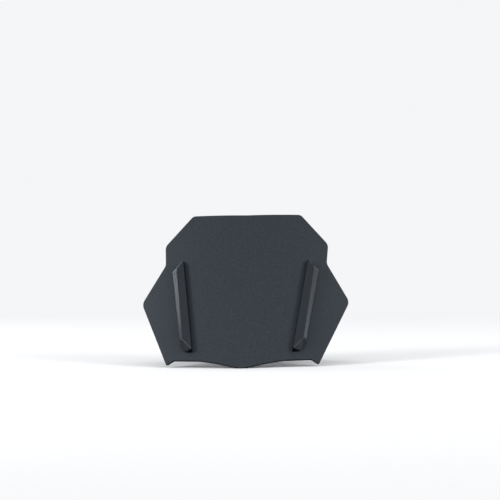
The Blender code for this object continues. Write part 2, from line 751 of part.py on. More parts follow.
# ------------------------------------------------------------------ arms
def arm_axes(side):
    """Directions along the arm and forwards out of it, and its start, in the (y, z) plane."""
    lower, upper = (panel_point(*place) for place in fixing_places(side).values())
    start = Vector((lower.y, lower.z))
    along = (Vector((upper.y, upper.z)) - start)
    length = along.length
    along.normalize()
    forward = Vector((-along.y, along.x))
    return start, along, forward, length


def arm_coordinates(side, place):
    """A (y, z) place as (along, forward) on the arm."""
    start, along, forward, _ = arm_axes(side)
    offset = Vector(place) - start
    return offset.dot(along), offset.dot(forward)


def arm_place(side, along_arm, forward_of_arm):
    """An (along, forward) place on the arm as (y, z)."""
    start, along, forward, _ = arm_axes(side)
    return tuple(start + along * along_arm + forward * forward_of_arm)


def arm_outline(side):
    """The arm seen from the side: a rail behind the screen with a web to its two pivots."""
    length = arm_axes(side)[3]
    low_pivot = arm_coordinates(side, LOWER_ARM_AXIS)
    high_pivot = arm_coordinates(side, UPPER_ARM_AXIS)
    front = -ARM_RAIL_FRONT
    back = front - ARM_RAIL_DEPTH
    web_low = ARM_BOSS_RADIUS + ARM_WEB_BELOW
    web_high = length - ARM_BOSS_RADIUS - ARM_WEB_ABOVE
    eye = LEVER_EYE_RADIUS
    corners = [
        (-ARM_BOSS_RADIUS, front, ARM_CORNER_RADIUS),
        (length + ARM_BOSS_RADIUS, front, ARM_CORNER_RADIUS),
        (length + ARM_BOSS_RADIUS, back, ARM_CORNER_RADIUS),
        (web_high, back, ARM_CORNER_RADIUS),
        (high_pivot[0] + eye, high_pivot[1] - eye, eye),
        (low_pivot[0] - eye, low_pivot[1] - eye, eye),
        (web_low, back, ARM_CORNER_RADIUS),
        (-ARM_BOSS_RADIUS, back, ARM_CORNER_RADIUS),
    ]
    return [(*arm_place(side, u, v), radius) for u, v, radius in corners]


def arm_lean(side, place):
    """Sideways shift of the arm's middle at a (y, z) place: the top joggles out to its boss."""
    length = arm_axes(side)[3]
    start = arm_coordinates(side, UPPER_ARM_AXIS)[0] + LEVER_EYE_RADIUS
    x, height = fixing_places(1)["upper"]
    boss_middle = panel_point(x, height, (ARM_BOSS_FRONT + ARM_BOSS_BACK) / 2).x
    along = arm_coordinates(side, place)[0]
    share = min(max((along - start) / (length - start), 0.0), 1.0)
    return share * (boss_middle - ARM_MIDDLE_X)


def build_arm(side_name, side):
    """A stiff arm with two bosses for the screen and two bores for the levers."""
    arm = plate(f"arm_{side_name}", rounded(arm_outline(side)), ARM_THICKNESS, plate_frame(0.0))
    start, along, _, length = arm_axes(side)
    lean_from = arm_coordinates(side, UPPER_ARM_AXIS)[0] + LEVER_EYE_RADIUS
    folds = [start + along * reach for reach in (lean_from, length)]
    slice_mesh(arm.data, [(Vector((*fold, 0.0)), Vector((*along, 0.0))) for fold in folds])
    for vertex in arm.data.vertices:
        vertex.co.z += side * (ARM_MIDDLE_X + arm_lean(side, vertex.co.xy))
    smooth(arm.data)
    for place, (x, height) in fixing_places(side).items():
        frame = fixing_frame(x, height)
        boss = rod(f"arm_boss_{side_name}_{place}", ARM_BOSS_RADIUS, ARM_BOSS_BACK, ARM_BOSS_FRONT, frame,
                   CUTTERS)
        add(arm, boss)
        drill(arm, f"arm_hole_{side_name}_{place}", SCREW_RADIUS + GAP, frame,
              ARM_BOSS_BACK - OVERCUT, ARM_BOSS_FRONT + OVERCUT)
    for place, axis in (("lower", LOWER_ARM_AXIS), ("upper", UPPER_ARM_AXIS)):
        frame = side_frame(side, ARM_INSIDE_X, axis)
        ring = rod(f"arm_ring_{side_name}_{place}", LEVER_EYE_RADIUS - EYE_RING_STEP, -ARM_SPACER, OVERCUT,
                   frame, CUTTERS)
        add(arm, ring)
        drill(arm, f"arm_bore_{side_name}_{place}", PIN_RADIUS + GAP, frame,
              -ARM_SPACER - OVERCUT, ARM_THICKNESS + OVERCUT)
    frame = side_frame(side, ARM_INSIDE_X, brace_axis())
    drill(arm, f"arm_brace_hole_{side_name}", BRACE_BOLT_RADIUS + GAP, frame,
          -OVERCUT, ARM_THICKNESS + OVERCUT)
    finish_part(arm, "black_aluminium", "screen")


def brace_axis():
    """(y, z) of the bar that ties the two arms."""
    return arm_place(1, BRACE_ALONG, -BRACE_DEPTH)


def build_brace():
    """The bar between the arms and the bolt at each end."""
    frame = side_frame(1, 0.0, brace_axis())
    end = ARM_INSIDE_X - GAP
    bore = BRACE_BOLT_RADIUS + GAP
    brace = tube("arm_brace_tube", BRACE_RADIUS, bore, -end, end, frame)
    finish_part(brace, "black_steel", "screen")
    for side_name, side in SIDES.items():
        frame = side_frame(side, ARM_OUTSIDE_X + GAP, brace_axis())
        bolt = headed_bolt(f"brace_bolt_{side_name}", BRACE_BOLT_RADIUS, BRACE_BOLT_HEAD_RADIUS,
                           BRACE_BOLT_HEAD, ARM_THICKNESS + BRACE_BOLT_LENGTH, frame)
        finish_part(bolt, "zinc", "screen")


def headed_bolt(name, radius, head_radius, head, length, frame):
    """A bolt whose head stands on its frame's plane and whose shank runs inwards."""
    bevel = head * BOLT_BEVEL
    profile = [
        (0.0, head),
        (head_radius - bevel, head),
        (head_radius, head - bevel),
        (head_radius, 0.0),
        (radius, 0.0),
        (radius, -length),
        (0.0, -length),
    ]
    return turned(name, profile, frame, steps=ROUND_STEPS)


# ------------------------------------------------------------------ levers and pins
def build_lower_lever(side_name, side):
    """The driven lever: a hub with flats on the torque tube and an eye for the arm's pin."""
    middle = side * (LEVER_INSIDE_X + LEVER_THICKNESS / 2)
    outline = hull([(TORQUE_AXIS, LEVER_HUB_RADIUS), (LOWER_ARM_AXIS, LEVER_EYE_RADIUS)])
    lever = plate(f"lower_lever_{side_name}", outline, LEVER_THICKNESS, plate_frame(middle))
    hub_frame = side_frame(side, LEVER_INSIDE_X, TORQUE_AXIS)
    hub = rod(f"lever_hub_{side_name}", LEVER_HUB_RADIUS - HUB_STEP, LEVER_THICKNESS / 2,
              LEVER_THICKNESS / 2 + LEVER_HUB_LENGTH, hub_frame, CUTTERS)
    add(lever, hub)
    bore = plate(f"lever_bore_{side_name}", flatted_circle(TORQUE_AXIS, TUBE_RADIUS + GAP, TUBE_FLAT + GAP),
                 3 * LEVER_HUB_LENGTH + 2 * LEVER_THICKNESS, plate_frame(middle), collection=CUTTERS)
    cut(lever, bore)
    drill(lever, f"lever_eye_{side_name}", PIN_RADIUS + GAP, side_frame(side, LEVER_INSIDE_X, LOWER_ARM_AXIS),
          -OVERCUT, LEVER_THICKNESS + OVERCUT)
    finish_part(lever, "black_aluminium", "lower_levers")


def build_upper_lever(side_name, side):
    """The idle lever: an eye with a raised ring on the cheek and an eye on the arm's pin."""
    middle = side * (LEVER_INSIDE_X + LEVER_THICKNESS / 2)
    outline = hull([(UPPER_BASE_AXIS, LEVER_EYE_RADIUS), (UPPER_ARM_AXIS, LEVER_EYE_RADIUS)])
    lever = plate(f"upper_lever_{side_name}", outline, LEVER_THICKNESS, plate_frame(middle))
    base_frame = side_frame(side, LEVER_INSIDE_X, UPPER_BASE_AXIS)
    ring = rod(f"lever_ring_{side_name}", LEVER_EYE_RADIUS - EYE_RING_STEP,
               CHEEK_OUTSIDE_X + GAP - LEVER_INSIDE_X, LEVER_THICKNESS / 2, base_frame, CUTTERS)
    add(lever, ring)
    drill(lever, f"upper_eye_base_{side_name}", PIN_RADIUS + GAP, base_frame,
          CHEEK_OUTSIDE_X - LEVER_INSIDE_X - OVERCUT, LEVER_THICKNESS + OVERCUT)
    drill(lever, f"upper_eye_arm_{side_name}", PIN_RADIUS + GAP,
          side_frame(side, LEVER_INSIDE_X, UPPER_ARM_AXIS), -OVERCUT, LEVER_THICKNESS + OVERCUT)
    finish_part(lever, "black_aluminium", f"upper_lever_{side_name}")


def build_pin(side_name, side, place, axis):
    """A pivot pin through the arm and a lever, and the nut on its inner end."""
    frame = side_frame(side, ARM_OUTSIDE_X + GAP, axis)
    nut_outside = LEVER_INSIDE_X - GAP
    length = ARM_OUTSIDE_X + GAP - nut_outside + NUT_THICKNESS
    pin = headed_bolt(f"pivot_pin_{side_name}_{place}", PIN_RADIUS, PIN_HEAD_RADIUS, PIN_HEAD, length, frame)
    finish_part(pin, "zinc", "screen")
    hexagon = circle((0.0, 0.0), NUT_RADIUS, 6)
    nut_middle = nut_outside - NUT_THICKNESS / 2
    nut = plate(f"pivot_nut_{side_name}_{place}", hexagon, NUT_THICKNESS, side_frame(side, nut_middle, axis),
                holes=[circle((0.0, 0.0), PIN_RADIUS + GAP)])
    finish_part(nut, "zinc", "screen")


def build_torque_tube():
    """The tube that ties the lower levers, with flats where they sit."""
    end = LEVER_INSIDE_X + LEVER_THICKNESS / 2 + LEVER_HUB_LENGTH - TUBE_END_INSET
    frame = side_frame(1, 0.0, TORQUE_AXIS)
    torque_tube = tube("torque_tube", TUBE_RADIUS, HUB_BOLT_RADIUS + GAP, -end, end, frame)
    for side_name, side in SIDES.items():
        flat_start = LEVER_INSIDE_X - GAP
        for level, sign in (("top", 1), ("bottom", -1)):
            inner = TORQUE_AXIS[1] + sign * TUBE_FLAT
            outer = TORQUE_AXIS[1] + sign * (TUBE_RADIUS + OVERCUT)
            low_x, high_x = sorted((side * flat_start, side * (end + OVERCUT)))
            low_z, high_z = sorted((inner, outer))
            flat = box(f"tube_flat_{side_name}_{level}", (low_x, TORQUE_AXIS_Y - 2 * TUBE_RADIUS, low_z),
                       (high_x, TORQUE_AXIS_Y + 2 * TUBE_RADIUS, high_z), CUTTERS)
            cut(torque_tube, flat)
        head = LEVER_INSIDE_X + LEVER_THICKNESS / 2 + LEVER_HUB_LENGTH + GAP
        bolt = headed_bolt(f"hub_bolt_{side_name}", HUB_BOLT_RADIUS, HUB_BOLT_HEAD_RADIUS, HUB_BOLT_HEAD,
                           HUB_BOLT_LENGTH, side_frame(side, head, TORQUE_AXIS))
        finish_part(bolt, "zinc", "lower_levers")
    finish_part(torque_tube, "black_steel", "lower_levers")


# ------------------------------------------------------------------ base
def build_side_bracket(side_name, side):
    """The cheek that carries the pivots, with its mounting foot turned inwards."""
    middle = side * (CHEEK_INSIDE_X + CHEEK_THICKNESS / 2)
    circles = [
        (TORQUE_AXIS, TORQUE_BUSH_RADIUS + CHEEK_RIM),
        (UPPER_BASE_AXIS, PIN_RADIUS + CHEEK_RIM),
        (PINION_AXIS, BEARING_RADIUS + CHEEK_RIM),
        ((CROSS_TUBE_Y, CROSS_TUBE_Z), CROSS_BOLT_RADIUS + CHEEK_RIM),
    ]
    points = [p for centre, radius in circles for p in circle(centre, radius, FINE_STEPS) if p[1] > 0.0]
    points += [(-FOOT_LENGTH / 2, 0.0), (FOOT_LENGTH / 2, 0.0)]
    outline = [points[i] for i in convex_hull_2d([Vector(p) for p in points])]
    bracket = plate(f"side_bracket_{side_name}", outline, CHEEK_THICKNESS, plate_frame(middle))
    low_x, high_x = sorted((side * (CHEEK_INSIDE_X - FOOT_WIDTH), middle))
    foot = box(f"foot_{side_name}", (low_x, -FOOT_LENGTH / 2, 0.0),
               (high_x, FOOT_LENGTH / 2, FOOT_THICKNESS), CUTTERS)
    add(bracket, foot)
    bores = {
        "torque": (TORQUE_AXIS, TORQUE_BUSH_RADIUS + GAP),
        "upper": (UPPER_BASE_AXIS, PIN_RADIUS + GAP),
        "cross": ((CROSS_TUBE_Y, CROSS_TUBE_Z), CROSS_BOLT_RADIUS + GAP),
    }
    if side < 0:
        bores["pinion"] = (PINION_AXIS, BEARING_RADIUS + GAP)
    for bore_name, (axis, radius) in bores.items():
        drill(bracket, f"{bore_name}_bore_{side_name}", radius, side_frame(side, CHEEK_INSIDE_X, axis),
              -OVERCUT, CHEEK_THICKNESS + OVERCUT)
    hole_x = side * (CHEEK_INSIDE_X - FOOT_HOLE_INSET)
    for row, sign in (("front", -1), ("rear", 1)):
        frame = Matrix.Translation((hole_x, sign * FOOT_HOLE_SPACING / 2, 0.0))
        drill(bracket, f"foot_hole_{side_name}_{row}", FOOT_HOLE_RADIUS, frame,
              -OVERCUT, FOOT_THICKNESS + OVERCUT)
    finish_part(bracket, "black_steel", "base")


def build_bush(side_name, side):
    """The flanged bush that the torque tube turns in."""
    frame = side_frame(side, CHEEK_OUTSIDE_X, TORQUE_AXIS)
    bore = TUBE_RADIUS + GAP
    bush = turned(
        f"torque_bush_{side_name}",
        [
            (bore, GAP + BUSH_FLANGE),
            (BUSH_FLANGE_RADIUS, GAP + BUSH_FLANGE),
            (BUSH_FLANGE_RADIUS, GAP),
            (TORQUE_BUSH_RADIUS, GAP),
            (TORQUE_BUSH_RADIUS, -CHEEK_THICKNESS - BUSH_OVERHANG),
            (bore, -CHEEK_THICKNESS - BUSH_OVERHANG),
        ],
        frame,
    )
    finish_part(bush, "nylon", "base")


def build_cross_members():
    """The two tubes that hold the cheeks apart, and their bolts."""
    end = CHEEK_INSIDE_X - GAP
    tie = tube("tie_tube", TIE_TUBE_RADIUS, PIN_RADIUS + GAP, -end, end, side_frame(1, 0.0, UPPER_BASE_AXIS))
    finish_part(tie, "black_steel", "base")
    cross_axis = (CROSS_TUBE_Y, CROSS_TUBE_Z)
    cross = tube("cross_tube", CROSS_TUBE_RADIUS, CROSS_BOLT_RADIUS + GAP, -end, end,
                 side_frame(1, 0.0, cross_axis))
    finish_part(cross, "black_steel", "base")
    for side_name, side in SIDES.items():
        pivot_bolt = headed_bolt(f"pivot_bolt_{side_name}", PIN_RADIUS, PIN_HEAD_RADIUS, PIN_HEAD,
                                 LEVER_OUTSIDE_X - CHEEK_INSIDE_X + HUB_BOLT_LENGTH / 2,
                                 side_frame(side, LEVER_OUTSIDE_X + GAP, UPPER_BASE_AXIS))
        finish_part(pivot_bolt, "zinc", "base")
        cross_bolt = headed_bolt(f"cross_bolt_{side_name}", CROSS_BOLT_RADIUS, CROSS_BOLT_HEAD_RADIUS,
                                 BRACE_BOLT_HEAD, CHEEK_THICKNESS + CROSS_BOLT_LENGTH,
                                 side_frame(side, CHEEK_OUTSIDE_X + GAP, cross_axis))
        finish_part(cross_bolt, "zinc", "base")


# ------------------------------------------------------------------ drive
def involute(angle):
    """The involute function."""
    return math.tan(angle) - angle


def tooth_flank(pitch_radius, teeth):
    """(radius, half angle) pairs up one flank of a tooth."""
    base_radius = pitch_radius * math.cos(PRESSURE_ANGLE)
    root = pitch_radius - TOOTH_DEDENDUM
    tip = pitch_radius + TOOTH_ADDENDUM
    half_at_pitch = math.pi / (2 * teeth) - TOOTH_BACKLASH / (2 * pitch_radius)
    start = max(base_radius, root)
    flank = []
    for i in range(FLANK_STEPS + 1):
        radius = start + (tip - start) * i / FLANK_STEPS
        pressure = math.acos(base_radius / radius)
        flank.append((radius, half_at_pitch + involute(PRESSURE_ANGLE) - involute(pressure)))
    if root < start:
        flank.insert(0, (root, flank[0][1]))
    return flank


def tooth_points(centre, angle, pitch_radius, teeth):
    """Points over one tooth, in the direction of rising angle."""
    flank = tooth_flank(pitch_radius, teeth)
    rising = [(radius, angle - half) for radius, half in flank]
    falling = [(radius, angle + half) for radius, half in reversed(flank)]
    return [
        (centre[0] + radius * math.cos(a), centre[1] + radius * math.sin(a))
        for radius, a in rising + falling
    ]


def sector_hub_radius():
    """Radius of the sector's hub around the torque tube."""
    return TUBE_RADIUS + GAP + SECTOR_HUB_WALL


def sector_middle_x():
    """How far the sector's middle plane is from the middle of the assembly."""
    return CHEEK_INSIDE_X - SECTOR_INSET - SECTOR_THICKNESS / 2


def build_sector():
    """The toothed sector on the torque tube, on the rider's right."""
    pitch = 2 * math.pi / SECTOR_TEETH
    outline = []
    for i in range(SECTOR_TEETH_CUT):
        angle = CONTACT_ANGLE + (i - TEETH_BEFORE_CONTACT + 0.5) * pitch
        outline += tooth_points(TORQUE_AXIS, angle, SECTOR_PITCH_RADIUS, SECTOR_TEETH)
    low = CONTACT_ANGLE + (-TEETH_BEFORE_CONTACT) * pitch
    high = CONTACT_ANGLE + (SECTOR_TEETH_CUT - TEETH_BEFORE_CONTACT) * pitch
    root = SECTOR_PITCH_RADIUS - TOOTH_DEDENDUM
    start = arc(TORQUE_AXIS, root, low - pitch / 3, low, 1)
    end = arc(TORQUE_AXIS, root, high, high + pitch / 3, 1)
    back = arc(TORQUE_AXIS, sector_hub_radius(), high + SECTOR_BACK[0], low + SECTOR_BACK[1] + 2 * math.pi,
               ROUND_STEPS // 2)
    outline = start + outline + end + back
    sector = plate("sector_gear", outline, SECTOR_THICKNESS, plate_frame(-sector_middle_x()))
    frame = side_frame(-1, sector_middle_x(), TORQUE_AXIS)
    hub = rod("sector_hub", sector_hub_radius() - SECTOR_HUB_STEP, -SECTOR_HUB_LENGTH + SECTOR_THICKNESS / 4,
              SECTOR_THICKNESS / 4, frame, CUTTERS)
    add(sector, hub)
    drill(sector, "sector_bore", TUBE_RADIUS + GAP, frame, -2 * SECTOR_HUB_LENGTH, 2 * SECTOR_HUB_LENGTH)
    middle_angle = (low + high) / 2
    reach = SECTOR_WINDOW_ANGLE * (SECTOR_WINDOWS - 1) / 2
    windows = arc(TORQUE_AXIS, (sector_hub_radius() + root) / 2, middle_angle - reach, middle_angle + reach,
                  SECTOR_WINDOWS - 1)
    for i, place in enumerate(windows):
        drill(sector, f"sector_window_{i}", (root - sector_hub_radius()) / 4,
              side_frame(-1, sector_middle_x(), place), -SECTOR_THICKNESS, SECTOR_THICKNESS)
    finish_part(sector, "zinc", "lower_levers")


def knob_inside_x():
    """Inner end of the knob's neck, outwards from the cheek's stack of flange and washer."""
    return CHEEK_OUTSIDE_X + GAP + BEARING_FLANGE + GAP + FRICTION_WASHER + GAP


def build_pinion():
    """The pinion on its shaft. One tooth points at the torque tube."""
    outline = []
    toward_tube = CONTACT_ANGLE + math.pi
    for i in range(PINION_TEETH):
        angle = toward_tube + i * 2 * math.pi / PINION_TEETH
        outline += tooth_points(PINION_AXIS, angle, PINION_PITCH_RADIUS, PINION_TEETH)
    width = SECTOR_THICKNESS + 2 * PINION_OVERHANG
    pinion = plate("pinion_shaft", outline, width, plate_frame(-sector_middle_x()))
    neck = PINION_PITCH_RADIUS - TOOTH_DEDENDUM - PINION_NECK_STEP
    start = sector_middle_x()
    step = CHEEK_INSIDE_X - GAP
    end = knob_inside_x() + KNOB_NECK_LENGTH + KNOB_LENGTH - KNOB_RECESS_DEPTH - GAP
    shaft = turned(
        "shaft_bar",
        [(0.0, end), (SHAFT_RADIUS, end), (SHAFT_RADIUS, step), (neck, step), (neck, start), (0.0, start)],
        side_frame(-1, 0.0, PINION_AXIS),
        collection=CUTTERS,
    )
    add(pinion, shaft)
    drill(pinion, "shaft_thread", KNOB_SCREW_RADIUS + GAP, side_frame(-1, 0.0, PINION_AXIS),
          end - KNOB_SCREW_LENGTH, end + OVERCUT)
    finish_part(pinion, "zinc", "knob")


def build_bearing():
    """The flanged bearing of the pinion shaft and the friction washer that holds the height."""
    frame = side_frame(-1, CHEEK_OUTSIDE_X, PINION_AXIS)
    bore = SHAFT_RADIUS + GAP
    bearing = turned(
        "pinion_bearing",
        [
            (bore, GAP + BEARING_FLANGE),
            (BEARING_FLANGE_RADIUS, GAP + BEARING_FLANGE),
            (BEARING_FLANGE_RADIUS, GAP),
            (BEARING_RADIUS, GAP),
            (BEARING_RADIUS, -CHEEK_THICKNESS),
            (bore, -CHEEK_THICKNESS),
        ],
        frame,
    )
    finish_part(bearing, "nylon", "base")
    low = GAP + BEARING_FLANGE + GAP
    washer = tube("friction_washer", FRICTION_WASHER_RADIUS, bore, low, low + FRICTION_WASHER, frame)
    finish_part(washer, "zinc", "base")


def build_knob():
    """The lobed hand knob and the screw that holds it on the shaft."""
    inside = knob_inside_x()
    frame = side_frame(-1, inside, PINION_AXIS)
    lobes = []
    steps = KNOB_LOBES * KNOB_LOBE_STEPS
    for i in range(steps):
        angle = 2 * math.pi * i / steps
        radius = KNOB_RADIUS - KNOB_LOBE_DEPTH * (1 - math.cos(KNOB_LOBES * angle)) / 2
        lobes.append((radius * math.cos(angle), radius * math.sin(angle)))
    grip_middle = KNOB_NECK_LENGTH + KNOB_LENGTH / 2
    knob = plate("knob", lobes, KNOB_LENGTH, frame @ Matrix.Translation((0.0, 0.0, grip_middle)))
    neck = rod("knob_neck", KNOB_NECK_RADIUS, 0.0, KNOB_NECK_LENGTH + KNOB_LENGTH / 2, frame, CUTTERS)
    add(knob, neck)
    drill(knob, "knob_recess", KNOB_RECESS_RADIUS, frame,
          KNOB_NECK_LENGTH + KNOB_LENGTH - KNOB_RECESS_DEPTH, KNOB_NECK_LENGTH + KNOB_LENGTH + OVERCUT)
    drill(knob, "knob_bore", SHAFT_RADIUS + GAP, frame, -OVERCUT,
          KNOB_NECK_LENGTH + KNOB_LENGTH - KNOB_RECESS_DEPTH + OVERCUT)
    finish_part(knob, "knob", "knob")
    seat = inside + KNOB_NECK_LENGTH + KNOB_LENGTH - KNOB_RECESS_DEPTH + GAP
    screw = headed_bolt("knob_screw", KNOB_SCREW_RADIUS, KNOB_SCREW_HEAD_RADIUS, KNOB_SCREW_HEAD,
                        KNOB_SCREW_LENGTH - OVERCUT, side_frame(-1, seat, PINION_AXIS))
    finish_part(screw, "zinc", "knob")


# ------------------------------------------------------------------ assembly
def build():
    """Build every piece of the screen and its adjuster."""
    add_axis("base", 0.0, 0.0)
    add_axis("lower_levers", *TORQUE_AXIS)
    add_axis("upper_lever_left", *UPPER_BASE_AXIS)
    add_axis("upper_lever_right", *UPPER_BASE_AXIS)
    add_axis("screen", *LOWER_ARM_AXIS)
    add_axis("knob", *PINION_AXIS)
    build_panel()
    for side_name, side in SIDES.items():
        build_cover(side_name, side)
        for place, (x, height) in fixing_places(side).items():
            build_fixing(side_name, place, x, height)
        build_arm(side_name, side)
        build_lower_lever(side_name, side)
        build_upper_lever(side_name, side)
        build_pin(side_name, side, "lower", LOWER_ARM_AXIS)
        build_pin(side_name, side, "upper", UPPER_ARM_AXIS)
        build_side_bracket(side_name, side)
        build_bush(side_name, side)
    build_brace()
    build_torque_tube()
    build_cross_members()
    build_sector()
    build_pinion()
    build_bearing()
    build_knob()


build()
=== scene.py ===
"""Motorcycle windshield screen on a hand-turned height adjuster, with its finishes, light and camera.

Sizes are those of the engineering frame, in metres. +Z is up, -Y is the front of the motorcycle and
+X is the rider's left. The frame loads first, and every piece then rides on one of its bodies.
"""

import json
import logging
import math
from dataclasses import dataclass, field
from enum import Enum
from typing import Optional, Sequence

import bpy
from mathutils import Matrix, Vector
from mathutils.geometry import convex_hull_2d


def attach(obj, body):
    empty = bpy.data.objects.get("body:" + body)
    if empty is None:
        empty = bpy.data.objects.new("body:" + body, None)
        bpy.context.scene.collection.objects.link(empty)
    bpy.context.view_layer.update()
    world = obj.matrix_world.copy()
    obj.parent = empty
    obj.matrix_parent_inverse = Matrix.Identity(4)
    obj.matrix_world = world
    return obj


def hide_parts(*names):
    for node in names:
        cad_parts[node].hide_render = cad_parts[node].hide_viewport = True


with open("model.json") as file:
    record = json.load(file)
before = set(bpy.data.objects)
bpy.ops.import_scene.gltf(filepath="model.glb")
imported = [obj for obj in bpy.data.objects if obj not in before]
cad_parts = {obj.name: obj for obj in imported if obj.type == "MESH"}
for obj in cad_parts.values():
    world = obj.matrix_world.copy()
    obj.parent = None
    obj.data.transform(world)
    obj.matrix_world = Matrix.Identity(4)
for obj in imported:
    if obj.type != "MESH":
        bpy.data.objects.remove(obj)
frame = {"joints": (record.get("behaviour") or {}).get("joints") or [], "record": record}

LOG = logging.getLogger("windshield_screen")

Point = tuple[float, float]
Colour = tuple[float, float, float]
Tree = bpy.types.NodeTree
Socket = bpy.types.NodeSocket

GAP = 0.0003  # between pieces that seat on, or turn in, each other
OVERCUT = 0.002  # how far a cutter runs past the face it opens
MERGE = 0.00001  # points closer than this are one point
TINY_EDGE = 0.0002  # edge radii of small, middling and large details
FINE_EDGE = 0.0003
SOFT_EDGE = 0.0005
SIDES = {"left": 1, "right": -1}  # the rider's left is +X
BODY_OF = {node: body for body, nodes in frame["record"]["behaviour"]["bodies"].items() for node in nodes}


# ---------------------------------------------------------------------------------------- finishes
class Grain(Enum):
    """How the fine relief of a finish runs."""

    MOULDED = "moulded"
    PEBBLED = "pebbled"
    BRUSHED = "brushed"
    KNURLED = "knurled"


@dataclass(frozen=True)
class Finish:
    """A surface with mottled colour, fine relief, uneven gloss and rubbed edges, on object coordinates."""

    name: str
    slot: str
    colour: Colour
    mottled: Colour
    roughness: tuple[float, float]
    metallic: float = 0.0
    specular: float = 0.5
    grain: Grain = Grain.MOULDED
    grain_scale: float = 1800.0
    grain_depth: float = 0.00003
    grain_strength: float = 0.4
    mottle_scale: float = 60.0
    rubbed: Optional[Colour] = None
    patch_range: Point = (0.35, 0.65)
    patch_share: float = 0.65
    edge_range: Point = (0.56, 0.66)
    wear_scale: float = 6.0
    wear_range: Point = (0.45, 0.6)
    wear_share: float = 0.8
    gloss_range: Point = (0.7, 1.3)
    brush_stretch: tuple[float, float, float] = (6.0, 0.35, 0.35)

    def material(self) -> bpy.types.Material:
        """The finish as a material, made once and then shared.

        Returns:
            The material with its node tree.
        """
        made = bpy.data.materials.get(self.name)
        if made is not None:
            return made
        made = bpy.data.materials.new(self.name)
        made.use_nodes = True
        tree = made.node_tree
        shader = tree.nodes["Principled BSDF"]
        shader.inputs["Metallic"].default_value = self.metallic
        shader.inputs["Specular IOR Level"].default_value = self.specular
        place = tree.nodes.new("ShaderNodeTexCoord").outputs["Object"]
        cloud = self.noise(tree, place, self.mottle_scale, 4.0)
        relief = self.relief(tree, place)
        tree.links.new(self.tint(tree, place, cloud, relief), shader.inputs["Base Color"])
        tree.links.new(self.gloss(tree, cloud, relief), shader.inputs["Roughness"])
        bump = tree.nodes.new("ShaderNodeBump")
        bump.inputs["Strength"].default_value = self.grain_strength
        bump.inputs["Distance"].default_value = self.grain_depth
        tree.links.new(relief, bump.inputs["Height"])
        tree.links.new(bump.outputs["Normal"], shader.inputs["Normal"])
        return made

    @staticmethod
    def noise(tree: Tree, place: Socket, scale: float, detail: float) -> Socket:
        """A noise texture's factor at a scale per metre.

        Args:
            tree: The node tree that it stands in.
            place: The object coordinates.
            scale: Its scale per metre.
            detail: How many finer layers it has.

        Returns:
            The factor's socket.
        """
        node = tree.nodes.new("ShaderNodeTexNoise")
        node.inputs["Scale"].default_value = scale
        node.inputs["Detail"].default_value = detail
        tree.links.new(place, node.inputs["Vector"])
        return node.outputs["Fac"]

    @staticmethod
    def ranged(tree: Tree, value: Socket, source: Point, target: Point) -> Socket:
        """A value moved from one range to another, and held inside it.

        Args:
            tree: The node tree that it stands in.
            value: The value to move.
            source: The range that it comes from.
            target: The range that it goes to.

        Returns:
            The socket of the moved value.
        """
        node = tree.nodes.new("ShaderNodeMapRange")
        for socket, number in zip(("From Min", "From Max", "To Min", "To Max"), (*source, *target)):
            node.inputs[socket].default_value = number
        tree.links.new(value, node.inputs["Value"])
        return node.outputs["Result"]

    @staticmethod
    def maths(tree: Tree, operation: str, first: Socket, second: Socket | float) -> Socket:
        """Two values put together, where the second may be a number.

        Args:
            tree: The node tree that it stands in.
            operation: The name of the operation.
            first: The first value.
            second: The second value, which may be a number.

        Returns:
            The socket of the result.
        """
        node = tree.nodes.new("ShaderNodeMath")
        node.operation = operation
        tree.links.new(first, node.inputs[0])
        if isinstance(second, float):
            node.inputs[1].default_value = second
        else:
            tree.links.new(second, node.inputs[1])
        return node.outputs[0]

    @staticmethod
    def mixed(tree: Tree, share: Socket, first: Colour | Socket, second: Colour | Socket) -> Socket:
        """Two colours mixed, each a colour or a socket.

        Args:
            tree: The node tree that it stands in.
            share: How much of the second colour shows.
            first: The colour, or its socket, where the share is nothing.
            second: The colour, or its socket, where the share is full.

        Returns:
            The socket of the mixed colour.
        """
        node = tree.nodes.new("ShaderNodeMix")
        node.data_type = "RGBA"
        tree.links.new(share, node.inputs["Factor"])
        for socket, colour in ((node.inputs[6], first), (node.inputs[7], second)):
            if isinstance(colour, tuple):
                socket.default_value = (*colour, 1.0)
            else:
                tree.links.new(colour, socket)
        return node.outputs[2]

    def relief(self, tree: Tree, place: Socket) -> Socket:
        """The height of the fine relief.

        Args:
            tree: The material's node tree.
            place: The object coordinates.

        Returns:
            The socket that holds the height.
        """
        if self.grain is Grain.PEBBLED:
            cells = tree.nodes.new("ShaderNodeTexVoronoi")
            cells.feature = "SMOOTH_F1"
            cells.inputs["Scale"].default_value = self.grain_scale
            tree.links.new(place, cells.inputs["Vector"])
            fine = self.noise(tree, place, self.grain_scale * 2.0, 2.0)
            return self.maths(tree, "MULTIPLY", cells.outputs["Distance"], fine)
        if self.grain is Grain.BRUSHED:
            stretch = tree.nodes.new("ShaderNodeMapping")
            stretch.inputs["Scale"].default_value = self.brush_stretch
            tree.links.new(place, stretch.inputs["Vector"])
            return self.noise(tree, stretch.outputs["Vector"], self.grain_scale, 3.0)
        if self.grain is Grain.KNURLED:
            crossed = None
            for turn in (math.radians(45), math.radians(-45)):
                mapping = tree.nodes.new("ShaderNodeMapping")
                mapping.inputs["Rotation"].default_value = (turn, turn, 0.0)
                tree.links.new(place, mapping.inputs["Vector"])
                ridges = tree.nodes.new("ShaderNodeTexWave")
                ridges.inputs["Scale"].default_value = self.grain_scale
                tree.links.new(mapping.outputs["Vector"], ridges.inputs["Vector"])
                one = ridges.outputs["Fac"]
                crossed = one if crossed is None else self.maths(tree, "MULTIPLY", crossed, one)
            return crossed
        return self.noise(tree, place, self.grain_scale, 3.0)

